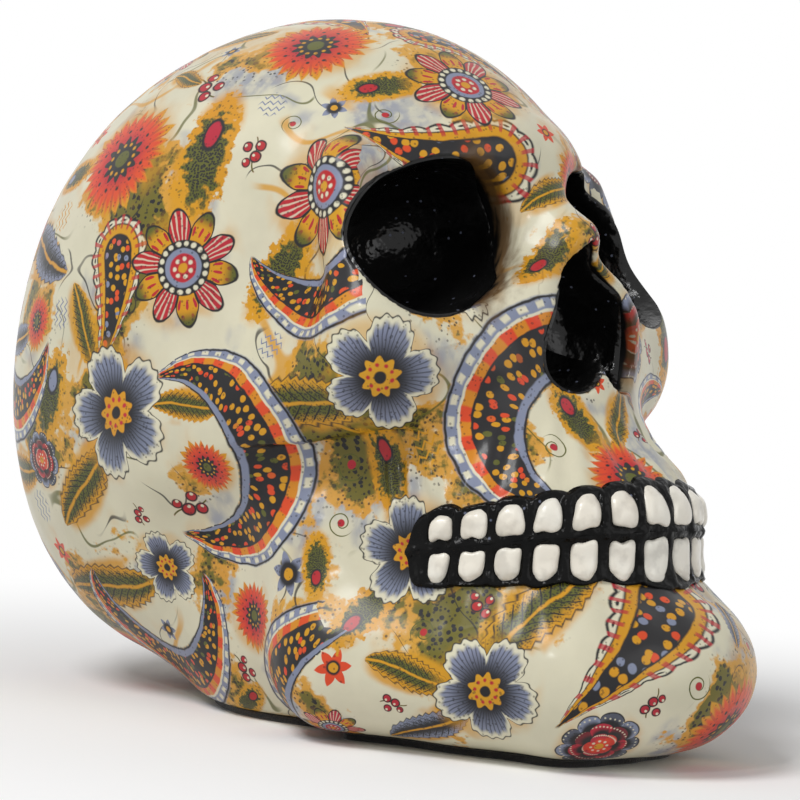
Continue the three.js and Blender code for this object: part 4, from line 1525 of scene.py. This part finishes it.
# Colours of the ground: washes, the bushes' edge and middle, and the twigs with their scale and width
WASHES = (("lilac", 41.0, 0.75), ("mustard", 33.0, 0.35))
BUSHES = (("mustard", 0.565), ("olive", 0.61))
TWIGS = (("mustard", 27.0, 0.011), ("olive", 38.0, 0.006), ("charcoal", 47.0, 0.004))


def print_ground(board, place):
    """Pale paper with watercolour washes, stippled bushes and thin trailing twigs."""
    aged = board.patches(place, scale=30.0, edge=0.5, soft=0.25)
    art = Picture(board, "ivory").coat(aged * 0.4, shade_of("ivory", 0.84))
    brushed = board.stretched(place, 1, 1, 0.45)
    for name, scale, strength in WASHES:
        wash = board.patches(place, scale=scale, edge=0.585, soft=0.05)
        stroke = board.patches(brushed, scale=330.0, edge=0.46, soft=0.12)
        art.coat(wash * (0.35 + stroke * 0.65) * strength, name)
    bush = board.noise(place, 36, 3) + (board.noise(place, 520, 3) - 0.5) * 0.13
    for name, edge in BUSHES:
        art.coat(bush.over(edge, 0.015) * 0.92, name)
    seeds = board.specked(place, scale=700.0, radius=0.42, share=0.75)
    art.coat(seeds * bush.over(0.615, 0.03), "charcoal")
    dots = board.specked(place, scale=760.0, radius=0.26, share=0.8)
    dotted = board.patches(place, scale=37.0, edge=0.56, soft=0.05)
    art.coat(dots * dotted * 0.8, "charcoal")
    for name, scale, width in TWIGS:
        twig = board.noise(place, scale, 1).near(0.5, width, width * 0.5)
        grown = board.patches(place, scale=scale * 0.6, edge=0.53, soft=0.03)
        art.coat(twig * grown * 0.85, name)
    return art


# Black paint that fades out: how far it draws back, how streaky it is, and its brown and black edges
PAINT_BACK, PAINT_STREAK = 7.5, 9
BROWN_EDGE, BROWN_SOFT, BROWN_SHARE = 6.6, 4.2, 0.95
BLACK_EDGE, BLACK_SOFT, BLACK_FADED = 0.2, 0.15, 1.7


def rim_paint(board, place, art):
    """Black paint over the rims of the holes, with a brown edge where it fades out in streaks."""
    rim, fade = (Ink(board, board.attribute(name).outputs["Fac"]) for name in ("rim", "fade"))
    streak = board.noise(board.stretched(place, 1, 1, 0.22), 420, 3)
    paint = rim + fade * (PAINT_BACK + (streak - 0.5) * PAINT_STREAK)
    art.coat(paint.under(BROWN_EDGE, BROWN_SOFT) * fade.over(0.35, 0.25) * BROWN_SHARE, "umber")
    art.coat(paint.under(BLACK_EDGE, BLACK_SOFT + fade * BLACK_FADED), "lacquer")


def print_material():
    """Printed paper under a clear satin coat, with black paint that fades out over some rims of the holes."""
    material, board, shader = new_material(
        "printed casting", coat_weight=0.28, coat_roughness=0.17, coat_ior=1.5, specular_ior_level=0.18
    )
    place = board.where()
    art = print_ground(board, place)
    smudge = board.patches(place, scale=60.0, edge=0.47, soft=0.06)
    inked = 0.0
    for layer in PRINT:
        drawn = board.node("Group", node_tree=layer_group(layer))
        flat = board.attribute(layer).outputs["Vector"]
        board.plug(drawn.inputs["Place"], board.shaken(flat, place, 210.0, SHAKES[layer]))
        art.coat(Ink(board, drawn.outputs["Halo"]) * smudge * HALOS[layer][0], "mustard")
        art.coat(drawn.outputs["Cover"], drawn.outputs["Color"])
        inked = Ink(board, drawn.outputs["Cover"]) + inked
    stipple = board.specked(place, scale=1000.0, radius=0.3, share=0.55)
    art.coat(stipple * inked.least(1) * 0.5, "charcoal")
    drift = board.node("HueSaturation")
    board.plug(drift.inputs["Value"], 0.84 + board.noise(place, 70, 4) * 0.32)
    board.plug(drift.inputs["Hue"], 0.488 + board.noise(place, 28, 2) * 0.024)
    board.plug(drift.inputs["Color"], art.colour)
    art.colour = drift.outputs["Color"]
    rim_paint(board, place, art)
    wrinkle = board.noise(place, 55, 3).near(0.5, 0.02, 0.02)
    wrinkled = board.patches(place, scale=18.0, edge=0.55, soft=0.06)
    height = board.noise(place, 260, 2) * 0.5 + wrinkle * wrinkled * 0.6
    roughness = 0.36 + board.noise(place, 90, 3) * 0.16
    plug_finish(board, shader, art, roughness, board.bump(height, 0.2 * MM))
    return material


def lacquer_material(name, gloss, strokes):
    """Thick gloss black paint with pale specks, partly dust and partly painted glints, and brush strokes so
    many millimetres deep.
    """
    material, board, shader = new_material(name, specular_ior_level=gloss)
    place = board.where()
    # Pale lilac specks: partly rough dust, partly painted glints of light on the black
    speck = board.specked(place, scale=430.0, radius=0.14, share=0.2)
    haze = board.patches(place, scale=70.0, edge=0.58, soft=0.2)
    art = Picture(board, "lacquer").coat(haze * 0.4, shade_of("lacquer", 2.6)).coat(speck * 0.6, "lilac")
    height = board.noise(place, 170, 2) + board.noise(place, 620, 1) * 0.3
    roughness = 0.15 + haze * 0.14 + speck * 0.3
    plug_finish(board, shader, art, roughness, board.bump(height, strokes * MM, strength=0.6))
    return material


def enamel_material():
    """Off-white paint, greyer and warmer in soft patches."""
    material, board, shader = new_material("tooth enamel", coat_weight=0.25, coat_roughness=0.14)
    place = board.where()
    grey = board.patches(place, scale=190.0, edge=0.57, soft=0.1)
    warm = board.patches(place, scale=60.0, edge=0.5, soft=0.2)
    art = Picture(board, "enamel").coat(grey * 0.42, shade_of("enamel", 0.5)).coat(warm * 0.1, "mustard")
    height = board.noise(place, 140, 2) + board.noise(place, 420, 2) * 0.35
    plug_finish(board, shader, art, 0.3 + grey * 0.15, board.bump(height, 0.7 * MM, strength=0.6))
    return material


def felt_material():
    """Dark felt: matted fibres with a soft sheen."""
    material, board, shader = new_material("base felt", sheen_weight=0.35, sheen_roughness=0.6)
    fibre = board.noise(board.where(), 1400, 4, 0.7)
    art = Picture(board, shade_of("felt", 0.6)).coat(fibre.over(0.5, 0.2), "felt")
    plug_finish(board, shader, art, 0.85 + fibre * 0.12, board.bump(fibre, 0.4 * MM, strength=0.8))
    return material


def resin_material():
    """Bare cast resin with mould flow and pin holes."""
    material, board, shader = new_material("bare resin", specular_ior_level=0.35)
    place = board.where()
    flow = board.noise(place, 60, 4)
    hole = board.specked(place, scale=500.0, radius=0.18, share=0.2)
    art = Picture(board, shade_of("resin", 0.8)).coat(flow, "resin").coat(hole * 0.6, "charcoal")
    relief = board.bump(flow * 0.4 - hole, 0.3 * MM, strength=0.7)
    plug_finish(board, shader, art, 0.5 + flow * 0.2, relief)
    return material


# Where the motifs go: how far from its middle a point lies in a motif's own place, 1 at the motif's edge
BLADE_WIDE = 0.46
NARROWEST = 0.05


def disc_reach(u, v, kind):
    return np.hypot(u, v)


def blade_reach(u, v, kind):
    return np.hypot(u / BLADE_WIDE, v)


def scroll_reach(u, v, kind):
    """1 at the edge of a paisley or a ribbon, less inside it and more outside."""
    if PRINT["scrolls"][kind] is paisley:
        rise = v + PAISLEY_LOW
        up = np.maximum(rise, 0) / PAISLEY_TIP
        thin = PAISLEY_WIDE * (CLOSED - np.minimum(up, 1) ** PAISLEY_THIN)
        across = u - PAISLEY_BEND * up * up + PAISLEY_ASIDE
        return np.hypot(across / np.maximum(thin, NARROWEST), np.minimum(rise, 0) / PAISLEY_WIDE)
    drop = v + RIBBON_DROP
    turned = np.abs(np.arctan2(u, drop)) / RIBBON_TURN
    half = RIBBON_HALF * (CLOSED - np.minimum(turned, 1) ** 2)
    return np.abs(np.hypot(u, drop) - RIBBON_MIDDLE) / np.maximum(half, NARROWEST)


REACHES = {"sprigs": disc_reach, "leaves": blade_reach, "scrolls": scroll_reach, "blooms": disc_reach}
ROOM = 1.08
WIDEST = 1.5
FACING = 0.05
MOUTH_ROOM, FOOT_ROOM = 11, 4


class Scatter:
    """Lays motifs on the casting's skin, so that none of one layer lies over another of the same layer."""

    def __init__(self, piece):
        mesh = piece.data
        self.piece = piece
        self.chance = np.random.default_rng(bpy.context.scene.skull_sizes.print_seed)
        self.points = points_of(piece) / MM
        self.out = skin_slope(casting_distance, self.points)
        self.corner = np.zeros(len(mesh.loops), np.int64)
        mesh.loops.foreach_get("vertex_index", self.corner)
        counts = np.zeros(len(mesh.polygons), np.int64)
        mesh.polygons.foreach_get("loop_total", counts)
        self.face = np.repeat(np.arange(len(counts)), counts)
        rim = np.min([hole_distance(name, self.points)[0] for name in HOLES], axis=0)
        way, above = mouth_places(self.points)
        mouth = (np.abs(above) < MOUTH_ROOM) & (np.abs(way) < MOUTH_HALF) & (self.points[:, 1] < -MOUTH_BACK)
        self.free = (rim > 0) & (self.points[:, 2] > FOOT_ROOM) & ~mouth
        self.taken = {layer: np.zeros(len(self.points), bool) for layer in PRINT}
        empty = [EMPTY_PLACE, EMPTY_PLACE, 0]
        self.places = {layer: np.tile(empty, (len(self.corner), 1)) for layer in PRINT}

    def lay(self, layer, centre, radius, toward, tag, keep_off=()):
        """Lays one motif, if it touches no other of its layer and covers little of those it keeps off."""
        at, out = self.points[centre], self.out[centre]
        up = toward - out * (toward @ out)
        up /= max(np.linalg.norm(up), TINY)
        right = np.cross(up, out)
        q = self.points - at
        chord = np.sqrt(np.einsum("ij,ij->i", q, q))
        near = np.flatnonzero((chord < WIDEST * radius) & (self.out @ out > FACING))
        x, y = q[near] @ right, q[near] @ up
        stretch = chord[near] / np.maximum(np.hypot(x, y), TINY) / radius
        u, v = x * stretch, y * stretch
        inside = near[REACHES[layer](u, v, int(tag)) < ROOM]
        if self.taken[layer][inside].any():
            return False
        if any(self.taken[other][inside].mean() > share for other, share in keep_off):
            return False
        self.taken[layer][inside] = True
        place = np.full((len(self.points), 2), EMPTY_PLACE)
        place[near] = side_by_side(u, v)
        corners = self.corners_at(inside)
        self.places[layer][corners, :2] = place[self.corner[corners]]
        self.places[layer][corners, 2] = tag
        return True

    def corners_at(self, inside):
        """The corners of all the faces that have any of the given points."""
        here = np.zeros(len(self.points), bool)
        here[inside] = True
        touched = np.zeros(self.face[-1] + 1, bool)
        touched[self.face[here[self.corner]]] = True
        return np.flatnonzero(touched[self.face])

    def open_spots(self):
        """The free points that no scroll, bloom or leaf covers."""
        covered = self.taken["blooms"] | self.taken["leaves"] | self.taken["scrolls"]
        return np.flatnonzero(self.free & ~covered)

    def nearest(self, point):
        return int(np.argmin(((self.points - point) ** 2).sum(axis=1)))

    def draw_tag(self, layer):
        """Which motif of a layer is drawn, with the motif's own seed as a fraction."""
        return self.chance.integers(len(PRINT[layer])) + self.chance.uniform(*SEEDS)

    def strew(self, layer, spots, tries, sizes, keep_off=()):
        """Tries motifs at spots picked by chance, large ones first, and gives those that were laid."""
        laid = []
        for attempt in range(tries):
            centre = int(self.chance.choice(spots))
            radius = self.chance.uniform(*sizes[len(sizes) * attempt // tries])
            tag = self.draw_tag(layer)
            if self.lay(layer, centre, radius, self.chance.normal(size=3), tag, keep_off):
                laid.append((centre, radius))
        return laid

    def sprout(self, blooms):
        """Lays leaves that point out from the blooms."""
        for _ in range(LEAF_TRIES):
            centre, reach = blooms[int(self.chance.integers(len(blooms)))]
            radius = self.chance.uniform(*LEAF_SIZE)
            toward = self.chance.normal(size=3)
            toward -= self.out[centre] * (toward @ self.out[centre])
            toward /= np.linalg.norm(toward)
            stalk = reach * STALK_BLOOM + radius * STALK_LEAF
            leaf_at = self.nearest(self.points[centre] + toward * stalk)
            if self.free[leaf_at]:
                toward = self.points[leaf_at] - self.points[centre]
                self.lay("leaves", leaf_at, radius, toward, self.draw_tag("leaves"), LEAF_OFF)

    def fill(self):
        """Lays small leaves, and a bloom now and then, in what is still open."""
        for attempt in range(FILL_TRIES):
            if attempt % FILL_ROUND == 0:
                left = self.open_spots()
            centre = int(self.chance.choice(left))
            layer = "leaves" if attempt % FILL_BLOOM else "blooms"
            tag = self.draw_tag(layer)
            radius = self.chance.uniform(*FILL_SIZES[layer])
            self.lay(layer, centre, radius, self.chance.normal(size=3), tag, FILL_OFF)

    def store(self):
        for layer, values in self.places.items():
            set_attribute(self.piece, layer, "FLOAT_VECTOR", "CORNER", values)


# How often each kind is tried, the range of its radius, and what share of it may lie on the layers under it
SCROLL_TRIES, BLOOM_TRIES, LEAF_TRIES, FILL_TRIES, SPRIG_TRIES = 150, 700, 700, 900, 1500
SCROLL_SIZES, BLOOM_SIZES, SPRIG_SIZES = ((26, 36), (17, 26)), ((13, 20), (8, 13)), ((3.5, 7.5),)
LEAF_SIZE = (10, 21)
FILL_SIZES = {"blooms": (7, 12), "leaves": (8, 16)}
FILL_ROUND, FILL_BLOOM = 25, 3
STALK_BLOOM, STALK_LEAF = 0.75, 0.8
BLOOM_OFF = (("scrolls", 0.22),)
LEAF_OFF = (("blooms", 0.4), ("scrolls", 0.35))
FILL_OFF = (("blooms", 0.12), ("scrolls", 0.12), ("leaves", 0.12))
SPRIG_OFF = (("blooms", 0.15), ("scrolls", 0.15), ("leaves", 0.25))
SEEDS = (0.05, 0.95)


def scatter_print(piece):
    """Scatters scrolls, then blooms between them, leaves out from the blooms, and sprigs in what is left."""
    scatter = Scatter(piece)
    spots = np.flatnonzero(scatter.free)
    scatter.strew("scrolls", spots, SCROLL_TRIES, SCROLL_SIZES)
    blooms = scatter.strew("blooms", spots, BLOOM_TRIES, BLOOM_SIZES, BLOOM_OFF)
    scatter.sprout(blooms)
    scatter.fill()
    scatter.strew("sprigs", scatter.open_spots(), SPRIG_TRIES, SPRIG_SIZES, SPRIG_OFF)
    scatter.store()


# Stage, in metres: the camera goes round the skull from in front, and up, and leans
CAMERA_TURN, CAMERA_RISE, CAMERA_ROLL = -50.0, 2.3, 4.0
CAMERA_FAR = 0.8
CAMERA_LENS, CAMERA_SENSOR, CAMERA_CLIP = 147.6, 36, 50
AIM = Vector((0, 0, 0.085))
AIM_ASIDE, AIM_BELOW = 0.0061, 0.0061

# Each lamp's place to the right of, above and in front of the aim, as the camera sees it, its width and power
LAMPS = {
    "key light": ((-0.5, 1.05, 0.65), 0.5, 10.0),
    "fill light": ((0.9, 0.35, 0.7), 0.9, 2.4),
    "glint light": ((-0.35, 0.6, 1.0), 0.08, 1.3),
}
AMBIENT = 0.32
WHITE = (1, 1, 1, 1)
FLOOR_WIDE = 40
FLOOR_GREYS = ((0.94, 0.94, 0.94, 1), (0.97, 0.97, 0.97, 1))
GLOW_FROM, GLOW_SOFT = 0.19, 0.13


def seen_rays(board):
    """1 for rays from the camera and for those that gloss or glass sends on."""
    rays = board.node("LightPath").outputs
    kinds = ("Camera", "Glossy", "Transmission")
    camera, glossy, through = (Ink(board, rays[f"Is {kind} Ray"]) for kind in kinds)
    return camera.most(glossy).most(through)


class SKULL_OT_stage(bpy.types.Operator):
    """Sets up the floor, the soft studio light and the camera"""

    bl_idname = "skull.stage"
    bl_label = "Stage"

    def execute(self, context):
        turn, rise, roll = (math.radians(v) for v in (CAMERA_TURN, CAMERA_RISE, CAMERA_ROLL))
        back = Vector((math.sin(turn) * math.cos(rise), -math.cos(turn) * math.cos(rise), math.sin(rise)))
        level = Vector((math.cos(turn), math.sin(turn), 0))
        upright = back.cross(level)
        right = level * math.cos(roll) + upright * math.sin(roll)
        up = upright * math.cos(roll) - level * math.sin(roll)
        self.camera(right, up, back)
        for name, (way, wide, power) in LAMPS.items():
            self.lamp(name, right * way[0] + up * way[1] + back * way[2], wide, power)
        self.floor()
        self.world()
        context.scene.view_settings.view_transform = "Standard"
        return {"FINISHED"}

    def camera(self, right, up, back):
        deselect()
        aim = AIM - right * AIM_ASIDE - up * AIM_BELOW
        bpy.ops.object.camera_add(location=aim + back * CAMERA_FAR)
        camera = bpy.context.object
        camera.name = "view"
        camera.rotation_euler = Matrix((right, up, back)).transposed().to_euler()
        camera.data.lens = CAMERA_LENS
        camera.data.sensor_width = CAMERA_SENSOR
        camera.data.clip_end = CAMERA_CLIP
        bpy.context.scene.camera = camera

    def lamp(self, name, way, wide, power):
        deselect()
        place = AIM + way
        bpy.ops.object.light_add(type="AREA", location=place)
        lamp = bpy.context.object
        lamp.name = name
        lamp.rotation_euler = (AIM - place).to_track_quat("-Z", "Y").to_euler()
        lamp.data.shape = "DISK"
        lamp.data.size = wide
        lamp.data.energy = power

    def floor(self):
        deselect()
        bpy.ops.mesh.primitive_plane_add(size=FLOOR_WIDE)
        floor = named("floor")
        material, board, shader = new_material("pale floor", roughness=0.9, specular_ior_level=0.0)
        board.plug(shader.inputs["Base Color"], board.blend(board.noise(board.where(), 8, 3), *FLOOR_GREYS))
        x, y, _ = board.parts(board.where())
        far = hypot(x, y).over(GLOW_FROM, GLOW_SOFT)
        mixed = board.node("MixShader")
        board.plug(mixed.inputs[0], far * seen_rays(board))
        board.plug(mixed.inputs[1], shader.outputs[0])
        board.plug(mixed.inputs[2], board.node("Emission").outputs[0])
        board.plug(board.tree.nodes["Material Output"].inputs["Surface"], mixed.outputs[0])
        floor.data.materials.append(material)

    def world(self):
        world = bpy.data.worlds.new("studio")
        bpy.context.scene.world = world
        world.use_nodes = True
        board = Board(world.node_tree)
        backdrop = world.node_tree.nodes["Background"]
        backdrop.inputs["Color"].default_value = WHITE
        board.plug(backdrop.inputs["Strength"], AMBIENT + seen_rays(board) * (1 - AMBIENT))


class SKULL_PT_panel(bpy.types.Panel):
    """Lists the steps that make the skull, and its sizes and colours"""

    bl_idname = "SKULL_PT_panel"
    bl_label = "Sugar Skull"
    bl_space_type = "VIEW_3D"
    bl_region_type = "UI"
    bl_category = "Sugar Skull"

    def draw(self, context):
        for operator in STEPS:
            self.layout.operator(operator.bl_idname)
        for group in (context.scene.skull_sizes, context.scene.skull_colours):
            for name in group.__annotations__:
                self.layout.prop(group, name)


STEPS = (
    SKULL_OT_stage,
    SKULL_OT_casting,
    SKULL_OT_linings,
    SKULL_OT_gums,
    SKULL_OT_teeth,
    SKULL_OT_base,
)
CLASSES = (SkullSizes, SkullColours, *STEPS, SKULL_PT_panel)


def register():
    for kind in CLASSES:
        bpy.utils.register_class(kind)
    bpy.types.Scene.skull_sizes = PointerProperty(type=SkullSizes)
    bpy.types.Scene.skull_colours = PointerProperty(type=SkullColours)


def unregister():
    del bpy.types.Scene.skull_colours
    del bpy.types.Scene.skull_sizes
    for kind in reversed(CLASSES):
        bpy.utils.unregister_class(kind)


def main():
    register()
    bpy.ops.skull.stage()
    bpy.ops.skull.casting()
    bpy.ops.skull.linings()
    bpy.ops.skull.gums()
    bpy.ops.skull.teeth()
    bpy.ops.skull.base()


if __name__ == "__main__":
    main()
